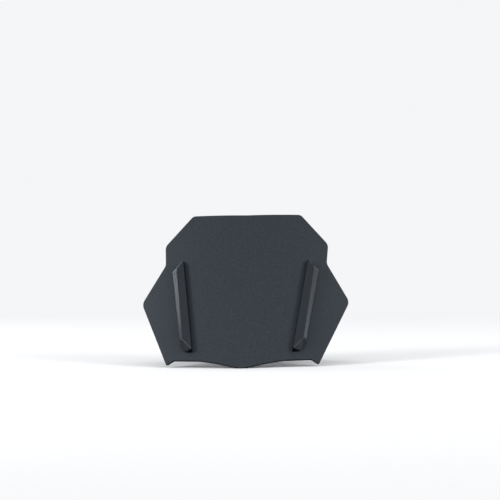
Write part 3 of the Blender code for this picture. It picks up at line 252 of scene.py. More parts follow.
    def tint(self, tree: Tree, place: Socket, cloud: Socket, relief: Socket) -> Socket:
        """The colour: two shades in soft patches, fine specks, and rubbed edges where the finish has them.

        Args:
            tree: The node tree that it stands in.
            place: The object coordinates.
            cloud: The factor of the soft patches.
            relief: The height of the fine relief.

        Returns:
            The socket of the colour.
        """
        patches = self.ranged(tree, cloud, self.patch_range, (0.0, 1.0))
        specks = self.ranged(tree, relief, self.patch_range, (0.0, 1.0 - self.patch_share))
        share = self.maths(tree, "MULTIPLY_ADD", patches, self.patch_share)
        tree.links.new(specks, share.node.inputs[2])
        colour = self.mixed(tree, share, self.colour, self.mottled)
        if self.rubbed is None:
            return colour
        edge = tree.nodes.new("ShaderNodeNewGeometry").outputs["Pointiness"]
        raised = self.ranged(tree, edge, self.edge_range, (0.0, 1.0))
        wear = self.noise(tree, place, self.mottle_scale * self.wear_scale, 5.0)
        broken = self.ranged(tree, wear, self.wear_range, (0.0, self.wear_share))
        return self.mixed(tree, self.maths(tree, "MULTIPLY", raised, broken), colour, self.rubbed)

    def gloss(self, tree: Tree, cloud: Socket, relief: Socket) -> Socket:
        """The roughness, which follows the patches and the relief."""
        both = self.maths(tree, "ADD", cloud, relief)
        return self.ranged(tree, both, self.gloss_range, self.roughness)


PANEL = Finish(
    "matte_charcoal_sheet", "panel", (0.0140, 0.0170, 0.0206), (0.0262, 0.0302, 0.0346), (0.60, 0.70),
    specular=0.28, grain_scale=2600.0, grain_depth=0.00004, grain_strength=0.40, mottle_scale=240.0,
)
COVER = Finish(
    "textured_black_cover", "cover", (0.0038, 0.0048, 0.0060), (0.0084, 0.0100, 0.0120), (0.32, 0.46),
    specular=0.33, grain=Grain.PEBBLED, grain_scale=1200.0, grain_depth=0.00006, grain_strength=0.35,
    mottle_scale=230.0, rubbed=(0.030, 0.032, 0.035),
)
RUBBER = Finish(
    "soft_black_rubber", "rubber", (0.012, 0.012, 0.013), (0.020, 0.020, 0.020), (0.72, 0.85),
    specular=0.35, grain_scale=1400.0, grain_strength=0.5,
)
BRASS = Finish(
    "knurled_brass", "brass", (0.62, 0.44, 0.17), (0.50, 0.33, 0.12), (0.26, 0.40), metallic=1.0,
    grain=Grain.KNURLED, grain_scale=420.0, grain_depth=0.00020, grain_strength=0.8,
)
ZINC = Finish(
    "bright_zinc_plate", "zinc", (0.58, 0.59, 0.60), (0.44, 0.45, 0.47), (0.24, 0.40), metallic=1.0,
    grain=Grain.BRUSHED, grain_scale=500.0, grain_depth=0.00003, mottle_scale=120.0,
    rubbed=(0.72, 0.72, 0.72),
)
GEAR_ZINC = Finish(
    "blanked_zinc_gear", "zinc", (0.50, 0.49, 0.44), (0.40, 0.38, 0.31), (0.28, 0.44), metallic=1.0,
    grain=Grain.BRUSHED, grain_scale=320.0, grain_depth=0.00004, mottle_scale=80.0, rubbed=(0.70, 0.70, 0.68),
)
POWDER_COAT = Finish(
    "black_powder_coat", "black_steel", (0.018, 0.018, 0.019), (0.026, 0.026, 0.027), (0.40, 0.54),
    grain=Grain.PEBBLED, grain_scale=900.0, grain_depth=0.00010, grain_strength=0.55,
    rubbed=(0.06, 0.06, 0.06),
)
OXIDE_STEEL = Finish(
    "black_oxide_screw", "black_steel", (0.030, 0.029, 0.030), (0.048, 0.046, 0.045), (0.30, 0.44),
    metallic=0.85, grain=Grain.BRUSHED, grain_scale=500.0, rubbed=(0.22, 0.21, 0.20),
)
ANODISED = Finish(
    "black_anodised_aluminium", "black_aluminium", (0.026, 0.027, 0.030), (0.036, 0.037, 0.040), (0.34, 0.46),
    metallic=0.55, grain_scale=3200.0, grain_depth=0.00003, mottle_scale=35.0, rubbed=(0.30, 0.30, 0.31),
)
NYLON = Finish(
    "natural_nylon", "nylon", (0.74, 0.71, 0.62), (0.66, 0.63, 0.54), (0.38, 0.52),
    grain_scale=900.0, grain_strength=0.2,
)
KNOB = Finish(
    "matte_black_grip", "knob", (0.014, 0.014, 0.015), (0.021, 0.021, 0.022), (0.52, 0.66),
    grain=Grain.PEBBLED, grain_scale=1100.0, grain_depth=0.00012, grain_strength=0.6,
    rubbed=(0.05, 0.05, 0.05),
)


# ---------------------------------------------------------------------------------------- outlines
class Outline:
    """Closed outlines as lists of points."""

    @staticmethod
    def arc(centre: Point, radius: float, start: float, end: float, steps: int) -> list[Point]:
        """Points on an arc, both ends included."""
        turns = [start + (end - start) * i / steps for i in range(steps + 1)]
        return [(centre[0] + radius * math.cos(t), centre[1] + radius * math.sin(t)) for t in turns]

    @staticmethod
    def circle(centre: Point, radius: float, steps: int = 64) -> list[Point]:
        """Points on a full circle."""
        return Outline.arc(centre, radius, 0.0, 2 * math.pi, steps)[:-1]

    @staticmethod
    def rounded(corners: Sequence[tuple[float, float, float]], step: float = math.radians(6)) -> list[Point]:
        """An outline whose corners are rounded as far as their sides allow.

        Args:
            corners: The corners as (u, v, radius).
            step: The largest turn between two points of a fillet.

        Returns:
            The points of the outline, in order.
        """
        points: list[Point] = []
        for i, (u, v, radius) in enumerate(corners):
            if radius == 0.0:
                points.append((u, v))
                continue
            here = Vector((u, v))
            before = Vector(corners[i - 1][:2]) - here
            after = Vector(corners[(i + 1) % len(corners)][:2]) - here
            opening = before.angle(after)
            reach = min(radius / math.tan(opening / 2), 0.48 * before.length, 0.48 * after.length)
            fitted = reach * math.tan(opening / 2)
            first = here + before.normalized() * reach
            last = here + after.normalized() * reach
            middle = here + (before.normalized() + after.normalized()).normalized() * (
                fitted / math.sin(opening / 2)
            )
            start = first - middle
            sweep = math.copysign(math.pi - opening, start.cross(last - middle))
            turn = math.atan2(start.y, start.x)
            points += Outline.arc(middle, fitted, turn, turn + sweep, max(1, math.ceil(abs(sweep) / step)))
        return points

    @staticmethod
    def spaced(points: Sequence[Point], spacing: float) -> list[Point]:
        """An outline with extra points, so that none of its sides is longer than a spacing.

        Args:
            points: The points of the outline.
            spacing: The longest side that is kept.

        Returns:
            The points, with the extra ones.
        """
        dense: list[Point] = []
        for i, start in enumerate(points):
            end = points[(i + 1) % len(points)]
            parts = max(1, math.ceil(math.dist(start, end) / spacing))
            dense += [
                (start[0] + (end[0] - start[0]) * k / parts, start[1] + (end[1] - start[1]) * k / parts)
                for k in range(parts)
            ]
        return dense

    @staticmethod
    def belt(circles: Sequence[tuple[Point, float]], extra: Sequence[Point] = ()) -> list[Point]:
        """The outline of a belt around circles and single points."""
        points = [p for centre, radius in circles for p in Outline.circle(centre, radius)] + list(extra)
        return [points[i] for i in convex_hull_2d([Vector(p) for p in points])]


# ---------------------------------------------------------------------------------------- workbench
class Bench:
    """The modelling moves that all sub-assemblies share."""

    @staticmethod
    def activate(piece: bpy.types.Object) -> None:
        """Make a piece the only selected and active one.

        Args:
            piece: The piece to work on.
        """
        bpy.ops.object.select_all(action="DESELECT")
        bpy.context.view_layer.objects.active = piece
        piece.select_set(True)

    @staticmethod
    def named(name: str) -> bpy.types.Object:
        """Name the primitive that was just added.

        Args:
            name: The piece's name.

        Returns:
            The piece.
        """
        piece = bpy.context.object
        piece.name = piece.data.name = name
        return piece

    @staticmethod
    def drawn(name: str, outline: Sequence[Point]) -> bpy.types.Object:
        """A flat face with one corner on each point of an outline.

        Args:
            name: The name of the face.
            outline: The points of the flat face.

        Returns:
            The flat face.
        """
        bpy.ops.object.select_all(action="DESELECT")
        bpy.ops.mesh.primitive_circle_add(vertices=len(outline), radius=0.01, fill_type="NGON")
        piece = Bench.named(name)
        for vertex, (u, v) in zip(piece.data.vertices, outline):
            vertex.co = (u, v, 0.0)
        return piece

    @staticmethod
    def close(piece: bpy.types.Object) -> None:
        """Merge doubled points, turn all faces outwards and go back to object mode.

        Args:
            piece: The piece to work on.
        """
        bpy.ops.mesh.select_all(action="SELECT")
        bpy.ops.mesh.remove_doubles(threshold=MERGE)
        bpy.ops.mesh.normals_make_consistent(inside=False)
        bpy.ops.object.mode_set(mode="OBJECT")
        piece.data.update()

    @staticmethod
    def plate(
        name: str, outline: Sequence[Point], thickness: float, place: Matrix, edge: float = 0.0
    ) -> bpy.types.Object:
        """A flat plate centred on its frame's XY plane.

        Args:
            name: The piece's name.
            outline: The points of its outline.
            thickness: The plate's thickness.
            place: The frame that it lies in.
            edge: The radius of its edges, or none.

        Returns:
            The plate, with its place in its mesh.
        """
        piece = Bench.drawn(name, outline)
        bpy.ops.object.mode_set(mode="EDIT")
        bpy.ops.mesh.select_all(action="SELECT")
        bpy.ops.transform.translate(value=(0.0, 0.0, -thickness / 2))
        bpy.ops.mesh.extrude_region_move(TRANSFORM_OT_translate={"value": (0.0, 0.0, thickness)})
        Bench.close(piece)
        if edge:
            Bench.soften(piece, edge)
        return Bench.place(piece, place)

    @staticmethod
    def turned(
        name: str,
        profile: Sequence[Point],
        place: Matrix,
        ring: bool = False,
        edge: float = 0.0,
        sides: int = 48,
    ) -> bpy.types.Object:
        """A turned piece around its frame's Z.

        Args:
            name: The piece's name.
            profile: (radius, height) along its surface, from one end to the other.
            place: The frame that it stands in.
            ring: Whether the profile closes on itself, as a ring's does.
            edge: The radius of its edges, or none.
            sides: The number of flats around it.

        Returns:
            The turned piece, with its place in its mesh.
        """
        steps = [*profile, profile[0]] if ring else list(profile)
        radius, height = steps[0]
        bpy.ops.object.select_all(action="DESELECT")
        fill = "NOTHING" if ring else "NGON"
        bpy.ops.mesh.primitive_circle_add(vertices=sides, radius=radius, fill_type=fill)
        piece = Bench.named(name)
        bpy.ops.object.mode_set(mode="EDIT")
        bpy.ops.mesh.select_all(action="SELECT")
        bpy.ops.transform.translate(value=(0.0, 0.0, height))
        for wide, high in steps[1:]:
            bpy.ops.mesh.extrude_region_move(TRANSFORM_OT_translate={"value": (0.0, 0.0, high - height)})
            share = wide / radius
            bpy.ops.transform.resize(value=(share, share, 1.0), center_override=(0.0, 0.0, high))
            radius, height = wide, high
        Bench.close(piece)
        if edge:
            Bench.soften(piece, edge)
        return Bench.place(piece, place)

    @staticmethod
    def tube(
        name: str, outer: float, inner: float, low: float, high: float, place: Matrix, edge: float = TINY_EDGE
    ) -> bpy.types.Object:
        """A plain ring or tube between two heights of its frame."""
        profile = [(inner, high), (outer, high), (outer, low), (inner, low)]
        return Bench.turned(name, profile, place, ring=True, edge=edge)

    @staticmethod
    def apply(piece: bpy.types.Object, step: bpy.types.Modifier) -> None:
        """Apply a modifier."""
        Bench.activate(piece)
        bpy.ops.object.modifier_apply(modifier=step.name)

    @staticmethod
    def soften(piece: bpy.types.Object, radius: float, limit: float = 30.0, segments: int = 2) -> None:
        """Round every edge that is sharper than a limit in degrees.

        Args:
            piece: The piece to work on.
            radius: The radius of the edges.
            limit: The angle in degrees past which an edge counts.
            segments: The number of steps in the round.
        """
        step = piece.modifiers.new("edge_radius", "BEVEL")
        step.width = radius
        step.segments = segments
        step.limit_method = "ANGLE"
        step.angle_limit = math.radians(limit)
        Bench.apply(piece, step)

    @staticmethod
    def place(piece: bpy.types.Object, place: Matrix) -> bpy.types.Object:
        """Move a piece to its frame and put that place in its mesh.

        Args:
            piece: The piece to work on.
            place: The frame to move it to.

        Returns:
            The piece.
        """
        piece.matrix_world = place
        Bench.activate(piece)
        bpy.ops.object.transform_apply(location=True, rotation=True, scale=True)
        return piece

    @staticmethod
    def combine(piece: bpy.types.Object, tool: bpy.types.Object, operation: str) -> bpy.types.Object:
        """Join a tool to a piece, cut it out, or keep what both hold, and use the tool up.

        Args:
            piece: The piece to work on.
            tool: The piece that is used up.
            operation: UNION, DIFFERENCE or INTERSECT.

        Returns:
            The piece.
        """
        step = piece.modifiers.new("shape", "BOOLEAN")
        step.operation = operation
        step.solver = "EXACT"
        step.object = tool
        Bench.apply(piece, step)
        bpy.data.objects.remove(tool, do_unlink=True)
        bpy.ops.object.mode_set(mode="EDIT")
        bpy.ops.mesh.select_all(action="SELECT")
        bpy.ops.mesh.remove_doubles(threshold=MERGE)
        bpy.ops.object.mode_set(mode="OBJECT")
        return piece

    @staticmethod
    def drill(
        piece: bpy.types.Object, radius: float, low: float, high: float, place: Matrix, rim: float = FINE_EDGE
    ) -> bpy.types.Object:
        """A round hole through a wall between two heights of a frame, with a small chamfer at each end.

        Args:
            piece: The piece to work on.
            radius: The radius of the hole.
            low: The lower height.
            high: The upper height.
            place: The frame that it stands in.
            rim: The width of the chamfers.

        Returns:
            The piece.
        """
        wide = radius + rim + OVERCUT
        profile = [
            (wide, low - OVERCUT), (radius, low + rim), (radius, high - rim), (wide, high + OVERCUT),
        ]
        return Bench.combine(piece, Bench.turned("drill", profile, place), "DIFFERENCE")

    @staticmethod
    def bore(
        piece: bpy.types.Object, radius: float, low: float, high: float, place: Matrix
    ) -> bpy.types.Object:
        """A plain round pocket that ends exactly at two heights of a frame."""
        pocket = Bench.turned("bore", [(radius, low), (radius, high)], place)
        return Bench.combine(piece, pocket, "DIFFERENCE")

    @staticmethod
    def bisect_along(low: float, high: float, cell: float, axis: Vector) -> None:
        """Cut the selected faces on evenly spaced planes, in edit mode.

        Args:
            low: Where the first strip starts.
            high: Where the last strip ends.
            cell: The widest strip that is left.
            axis: The direction across the planes.
        """
        count = math.ceil((high - low) / cell)
        for i in range(1, count):
            bpy.ops.mesh.select_all(action="SELECT")
            bpy.ops.mesh.bisect(plane_co=axis * (low + (high - low) * i / count), plane_no=axis)

    @staticmethod
    def shade(piece: bpy.types.Object, limit: float = 38.0) -> None:
        """Shade round faces smooth, with normals that follow the large flats.

        Args:
            piece: The piece to work on.
            limit: The angle in degrees past which an edge counts.
        """
        Bench.activate(piece)
        bpy.ops.object.shade_smooth_by_angle(angle=math.radians(limit))
        step = piece.modifiers.new("flat_normals", "WEIGHTED_NORMAL")
        step.keep_sharp = True
        Bench.apply(piece, step)

    @staticmethod
    def hand_over(piece: bpy.types.Object, node: str, finish: Finish) -> None:
        """Dress a finished piece and let it stand for its node of the frame.

        Args:
            piece: The finished piece.
            node: The node that it stands for.
            finish: The piece's finish.
        """
        Bench.shade(piece)
        piece.data.materials.clear()
        piece.data.materials.append(finish.material())
        piece.name = piece.data.name = f"{node}_finished"
        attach(piece, BODY_OF[node])
        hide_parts(node)
        LOG.info("%s: %d faces, %s", node, len(piece.data.polygons), finish.name)


# ---------------------------------------------------------------------------------------- frames
def frame_along(point: Sequence[float], direction: Sequence[float]) -> Matrix:
    """A frame at a point with its Z along a direction."""
    return Matrix.Translation(point) @ Vector(direction).to_track_quat("Z", "Y").to_matrix().to_4x4()


def side_frame(side: int, x: float, place: Point) -> Matrix:
    """A frame at (x, y, z) whose Z points outwards, away from the middle plane."""
    return frame_along((side * x, *place), (side, 0.0, 0.0))


def plate_frame(x: float) -> Matrix:
    """A frame whose X and Y are the world's Y and Z, and whose Z is the world's X."""
    turn = Matrix(((0, 0, 1), (1, 0, 0), (0, 1, 0))).to_4x4()
    return Matrix.Translation((x, 0.0, 0.0)) @ turn


def joint_axis(name: str) -> Point:
    """(y, z) of a joint's axis."""
    return tuple(next(joint for joint in frame["joints"] if joint["name"] == name)["pos_m"][1:])


@dataclass(frozen=True)
class Widths:
    """Planes of the stack on each side, from the middle outwards."""

    cheek_inside: float = 0.086
    cheek: float = 0.004
    bush_flange: float = 0.0014
    lever: float = 0.006
    arm: float = 0.007
    spacer: float = 0.0022

    @property
    def cheek_outside(self) -> float:
        """Outer face of the cheek."""
        return self.cheek_inside + self.cheek

    @property
    def lever_inside(self) -> float:
        """Inner face of the levers."""
        return self.cheek_outside + GAP + self.bush_flange + GAP

    @property
    def lever_outside(self) -> float:
        """Outer face of the levers."""
        return self.lever_inside + self.lever

    @property
    def arm_inside(self) -> float:
        """Inner face of the arm, outside its spacer rings."""
        return self.lever_outside + GAP + self.spacer

    @property
    def arm_outside(self) -> float:
        """Outer face of the arm."""
        return self.arm_inside + self.arm


@dataclass(frozen=True)
class Axes:
    """(y, z) of the linkage's pivots, from the frame's joints."""

    torque: Point = field(default_factory=lambda: joint_axis("screen_lift"))
    upper_base: Point = field(default_factory=lambda: joint_axis("upper_lever_left_hinge"))
    lower_arm: Point = field(default_factory=lambda: joint_axis("screen_hinge"))
    pinion: Point = field(default_factory=lambda: joint_axis("knob_turn"))
    cross: Point = (-0.028, 0.013)

    @property
    def upper_arm(self) -> Point:
        """The upper pivot of the arm, which closes the parallelogram."""
        return tuple(a + b - c for a, b, c in zip(self.lower_arm, self.upper_base, self.torque))


WIDTHS = Widths()
AXES = Axes()


# ---------------------------------------------------------------------------------------- surface
@dataclass(frozen=True)
class ScreenSurface:
    """The panel's bowed and raked front face, measured from its lowest tip."""

    bow_radius: float = 0.392
    rake: float = 0.90
    curl: float = -0.368
    drop: float = 0.012
    standoff: float = 0.0453
    thickness: float = 0.004

    def setback(self, x: float, height: float) -> float:
        """How far the face lies behind the lowest tip."""
        bow = self.bow_radius - math.sqrt(self.bow_radius**2 - x**2)
        return self.rake * height + self.curl * height**2 + bow

    def point(self, x: float, height: float, rise: float = 0.0) -> Vector:
        """The world point at a distance in front of the face.

        Args:
            x: The distance from the middle plane.
            height: The height above the panel's lowest tip.
            rise: How far in front of the face.

        Returns:
            The world point.
        """
        arm_x = (WIDTHS.arm_inside + WIDTHS.arm_outside) / 2
        tip_y = AXES.lower_arm[0] - self.standoff - self.setback(arm_x, AXES.lower_arm[1] + self.drop)
        face = Vector((x, tip_y + self.setback(x, height), height - self.drop))
        return face + self.normal(x, height) * rise

    def normal(self, x: float, height: float) -> Vector:
        """Unit normal of the front face."""
        slope_x = x / math.sqrt(self.bow_radius**2 - x**2)
        return Vector((slope_x, -1.0, self.rake + 2 * self.curl * height)).normalized()

    def frame(self, x: float, height: float) -> Matrix:
        """A frame on the face with its Z along the normal."""
        return frame_along(self.point(x, height), self.normal(x, height))


SURFACE = ScreenSurface()


# ---------------------------------------------------------------------------------------- covers
@dataclass(frozen=True)
class FixingCover:
    """A slim faceted cover: a tall inner wall, a broad face, an outer chamfer and slanted ends."""

    foot_x: float = 0.0893
    foot_height: float = 0.0260
    length: float = 0.160
    lean: float = 0.16
    width: float = 0.0240
    lower_width: float = 0.0222
    rise: float = 0.0110
    edge_rise: float = 0.0090
    chamfer_rise: float = 0.0050
    lower_ridge: float = 0.0150
    upper_ridge: float = 0.0130
    lower_hip: float = 0.0160
    upper_hip: float = 0.0165
    toe_width: float = 0.0125
    toe_length: float = 0.0170
    toe_steps: int = 12
    heel_length: float = 0.0210
    draft: float = 0.0010
    end_draft: float = 0.0020
    wall: float = 0.0025
    edge_radius: float = 0.0008
    boss_radius: float = 0.0062
    cell: float = 0.005
    fixing_inset: float = 0.0120
    fixing_heights: tuple[tuple[str, float], ...] = (("lower", 0.055), ("upper", 0.150))

    def line(self, height: float) -> float:
        """x of the inner edge at a height above the panel's tip."""
        return self.foot_x + self.lean * (height - self.foot_height)

    def fixings(self, side: int) -> dict[str, Point]:
        """(x, height) of the lower and the upper screw of one side."""
        return {name: (side * (self.line(h) + self.fixing_inset), h) for name, h in self.fixing_heights}

    def corners(self, inset: float) -> list[tuple[float, float, float]]:
        """Corners as (across, along, rise).

        Args:
            inset: How far the form is set in from the outside; the hollow is set in by the wall.

        Returns:
            The corners whose convex form is the cover, or its hollow.
        """
        foot = GAP if inset == 0.0 else -OVERCUT
        end = inset * math.hypot(self.lower_hip, self.lower_ridge) / self.lower_ridge
        low = self.end_draft + end
        high = self.length - self.end_draft - end
        heel = self.length - self.heel_length - inset
        chamfer = self.chamfer_rise - inset / 2
        found = [
            (inset - self.draft, end, foot),
            (inset - self.draft, self.length - end, foot),
            (inset, low, self.edge_rise - inset),
            (inset, high, self.edge_rise - inset),
            (self.lower_ridge - inset / 2, low + self.lower_hip, self.rise - inset),
            (self.upper_ridge - inset / 2, high - self.upper_hip, self.rise - inset),
            (self.lower_width - self.draft - inset, self.toe_length + end, chamfer),
            (self.width - self.draft - inset, heel, chamfer),
            (self.width - inset, heel, foot),
        ]
        for i in range(self.toe_steps + 1):
            turn = math.pi / 2 * i / self.toe_steps
            across = self.lower_width - self.toe_width * (1 - math.sin(turn)) - inset
            found.append((across, self.toe_length * (1 - math.cos(turn)) + end, foot))
        return found

    def form(self, name: str, side: int, inset: float) -> bpy.types.Object:
        """The convex form through the corners, with softened edges, bent to follow the panel.

        Args:
            name: The form's name.
            side: 1 on the rider's left and -1 on the right.
            inset: How far it is set in from the outside.

        Returns:
            The closed form in its place.
        """
        corners = self.corners(inset)
        piece = Bench.drawn(name, [(across, along) for across, along, _ in corners])
        for vertex, corner in zip(piece.data.vertices, corners):
            vertex.co = corner
        bpy.ops.object.mode_set(mode="EDIT")
        bpy.ops.mesh.select_all(action="SELECT")
        bpy.ops.mesh.delete(type="EDGE_FACE")
        bpy.ops.mesh.select_all(action="SELECT")
        bpy.ops.mesh.convex_hull(use_existing_faces=False)
        bpy.ops.mesh.select_all(action="SELECT")
        bpy.ops.mesh.dissolve_limited(angle_limit=math.radians(1))
        Bench.close(piece)
        if inset == 0.0:
            Bench.soften(piece, self.edge_radius, limit=11.0, segments=3)
        Bench.activate(piece)
        bpy.ops.object.mode_set(mode="EDIT")
        Bench.bisect_along(0.0, self.length, self.cell, Vector((0.0, 1.0, 0.0)))
        bpy.ops.object.mode_set(mode="OBJECT")
        for vertex in piece.data.vertices:
            across, along, rise = vertex.co
            height = self.foot_height + along
            vertex.co = SURFACE.point(side * (self.line(height) + across), height, rise)
        bpy.ops.object.mode_set(mode="EDIT")
        Bench.close(piece)
        return piece

    def build(self, side_name: str, side: int, stack: "FixingStack") -> None:
        """Build one hollow cover with a blind boss over each fixing.

        Args:
            side_name: The side, as in the nodes' names.
            side: 1 on the rider's left and -1 on the right.
            stack: The sizes of the fixing.
        """
        cover = self.form("cover", side, 0.0)
        hollow = self.form("hollow", side, self.wall)
        places = [SURFACE.frame(*spot) for spot in self.fixings(side).values()]
        for place in places:
            Bench.bore(hollow, self.boss_radius, -2 * OVERCUT, self.rise, place)
        Bench.combine(cover, hollow, "DIFFERENCE")
        for place in places:
            Bench.bore(cover, stack.flange_radius + GAP, -OVERCUT, stack.boss_back, place)
            Bench.bore(cover, stack.insert_radius + GAP, 0.0, stack.insert_front + GAP, place)
        Bench.hand_over(cover, f"cover_{side_name}", COVER)


# ---------------------------------------------------------------------------------------- panel
@dataclass(frozen=True)
class ScreenPanel:
    """The matte sheet with waisted sides, flared lower corners and a shallow V below."""

    height: float = 0.272
    half_width: float = 0.1925
    top_half_width: float = 0.102
    shoulder_half_width: float = 0.1537
    waist_half_width: float = 0.1508
    waist_height: float = 0.180
    shoulder_above_waist: float = 0.035
    flare_height: float = 0.1095
    toe: Point = (0.137, 0.0044)
    hem_height: float = 0.0127
    hem_outer: float = 0.123
    hem_inner: float = 0.075
    keel: Point = (0.046, 0.009)
    tip_round: float = 0.006
    keel_round: float = 0.060
    hem_round: float = 0.040
    notch_round: float = 0.002
    toe_round: float = 0.003
    side_round: float = 0.015
    top_round: float = 0.011
    crown: float = 0.0009
    crown_reach: float = 0.018
    rim: float = 0.0018
    edge_radius: float = 0.0010
    spacing: float = 0.004
    cell: float = 0.008

    def outline(self) -> list[Point]:
        """The panel seen straight from the front, as (x, height) above its tip.

        Returns:
            Closely spaced points, with the two faint crowns of the upper edge.
        """
        half = [
            (*self.keel, self.keel_round),
            (self.hem_inner, self.hem_height, self.hem_round),
            (self.hem_outer, self.hem_height, self.notch_round),
            (*self.toe, self.toe_round),
            (self.half_width, self.flare_height, self.side_round),
            (self.waist_half_width, self.waist_height, self.side_round),
            (self.shoulder_half_width, self.waist_height + self.shoulder_above_waist, self.side_round),
            (self.top_half_width, self.height, self.top_round),
        ]
        mirrored = [(-x, height, radius) for x, height, radius in reversed(half)]
        points = Outline.spaced(Outline.rounded([(0.0, 0.0, self.tip_round), *half, *mirrored]), self.spacing)
        return [(x, height + self.crown_at(x, height)) for x, height in points]

    def crown_at(self, x: float, height: float) -> float:
        """How far the upper edge swells at a place, and nothing away from it.

        Args:
            x: The distance from the middle plane.
            height: The height above the panel's lowest tip.

        Returns:
            The swell.
        """
        if height < self.height - MERGE or abs(x) > self.top_half_width:
            return 0.0
        share = (abs(x) + self.crown_reach) / (self.top_half_width + self.crown_reach)
        return self.crown * math.sin(math.pi * share)

    def build(self, cover: FixingCover, hole_radius: float) -> None:
        """Build the sheet: drawn flat, cut into cells, bent, thickened, rounded and drilled.

        Args:
            cover: The cover, which says where the screws are.
            hole_radius: The radius of the grommets' holes.
        """
        panel = Bench.drawn("panel", self.outline())
        bpy.ops.object.mode_set(mode="EDIT")
        bpy.ops.mesh.select_all(action="SELECT")
        bpy.ops.mesh.inset(thickness=self.rim, depth=0.0)
        self.bisect_inside(panel)
        for vertex in panel.data.vertices:
            vertex.co = SURFACE.point(vertex.co.x, vertex.co.y)
        if panel.data.polygons[0].normal.y > 0.0:
            panel.data.flip_normals()
        wall = panel.modifiers.new("thickness", "SOLIDIFY")
        wall.thickness = SURFACE.thickness
        wall.offset = -1.0
        wall.use_even_offset = True
        Bench.apply(panel, wall)
        Bench.soften(panel, self.edge_radius, limit=45.0, segments=4)
        for side in SIDES.values():
            for spot in cover.fixings(side).values():
                Bench.drill(panel, hole_radius, -SURFACE.thickness, 0.0, SURFACE.frame(*spot), rim=TINY_EDGE)
        Bench.hand_over(panel, "screen_panel", PANEL)

    def bisect_inside(self, panel: bpy.types.Object) -> None:
        """Cut all but the rim into cells, so that the sheet can bend, and leave edit mode.

        Args:
            panel: The flat sheet.
        """
        bpy.ops.object.mode_set(mode="OBJECT")
        inner = max(range(len(panel.data.polygons)), key=lambda i: panel.data.polygons[i].area)
        group = panel.vertex_groups.new(name="inside")
        group.add(list(panel.data.polygons[inner].vertices), 1.0, "REPLACE")
        for axis, low, high in (
            (Vector((1.0, 0.0, 0.0)), -self.half_width, self.half_width),
            (Vector((0.0, 1.0, 0.0)), 0.0, self.height),
        ):
            count = math.ceil((high - low) / self.cell)
            for i in range(1, count):
                bpy.ops.object.mode_set(mode="EDIT")
                bpy.ops.mesh.select_all(action="DESELECT")
                bpy.ops.object.vertex_group_select()
                bpy.ops.mesh.bisect(plane_co=axis * (low + (high - low) * i / count), plane_no=axis)
                bpy.ops.object.vertex_group_assign()
                bpy.ops.object.mode_set(mode="OBJECT")
        panel.vertex_groups.clear()


# ---------------------------------------------------------------------------------------- fasteners
@dataclass(frozen=True)
class Bolt:
    """A bolt with a chamfered head, a hexagon socket and a pointed end."""

    radius: float
    head_radius: float
    head: float
    length: float
    socket_share: float = 0.55
    finish: Finish = ZINC
    crown: Optional[float] = None
    crown_steps: int = 6
    edge_radius: float = 0.00025
    chamfer_share: float = 0.25
    socket_depth: float = 0.6

    def build(self, node: str, place: Matrix) -> None:
        """Build the bolt with its head standing on its frame's plane.

        Args:
            node: The node that it stands for.
            place: The frame whose Z points out of the head.
        """
        chamfer = self.head * self.chamfer_share
        point = self.radius * self.chamfer_share
        profile = [
            (self.radius - point, -self.length), (self.radius, point - self.length), (self.radius, 0.0),
            (self.head_radius, 0.0),
        ]
        if self.crown is None:
            profile += [(self.head_radius, self.head - chamfer), (self.head_radius - chamfer, self.head)]
        else:
            low, fall = self.head / 3, self.head_radius * (1 - self.crown)
            for wide, high in Outline.arc((0.0, 0.0), 1.0, 0.0, math.pi / 2, self.crown_steps):
                profile.append((self.head_radius - fall * (1 - wide), low + (self.head - low) * high))
        bolt = Bench.turned("bolt", profile, place, edge=self.edge_radius)
        across = self.head_radius * self.socket_share
        depth = self.head * self.socket_depth
        hexagon = Outline.circle((0.0, 0.0), across, 6)
        socket = Bench.plate("socket", hexagon, 2 * depth, place @ Matrix.Translation((0.0, 0.0, self.head)))
        Bench.combine(bolt, socket, "DIFFERENCE")
        Bench.hand_over(bolt, node, self.finish)


@dataclass(frozen=True)
class Nut:
    """A hexagon nut with chamfered corners on both faces."""

    radius: float = 0.0068
    thickness: float = 0.0040
    bore: float = 0.0040 + GAP
    chamfer: float = 0.0007

    def build(self, node: str, place: Matrix) -> None:
        """Build the nut centred on its frame's plane.

        Args:
            node: The node that it stands for.
            place: The frame centred on it.
        """
        nut = Bench.plate("nut", Outline.circle((0.0, 0.0), self.radius, 6), self.thickness, place)
        half = self.thickness / 2
        slope = self.chamfer * math.tan(math.radians(30))
        lens = [
            (self.radius - self.chamfer, -half - MERGE), (self.radius + MERGE, slope - half),
            (self.radius + MERGE, half - slope), (self.radius - self.chamfer, half + MERGE),
        ]
        Bench.combine(nut, Bench.turned("lens", lens, place), "INTERSECT")
        Bench.drill(nut, self.bore, -half, half, place)
        Bench.hand_over(nut, node, ZINC)


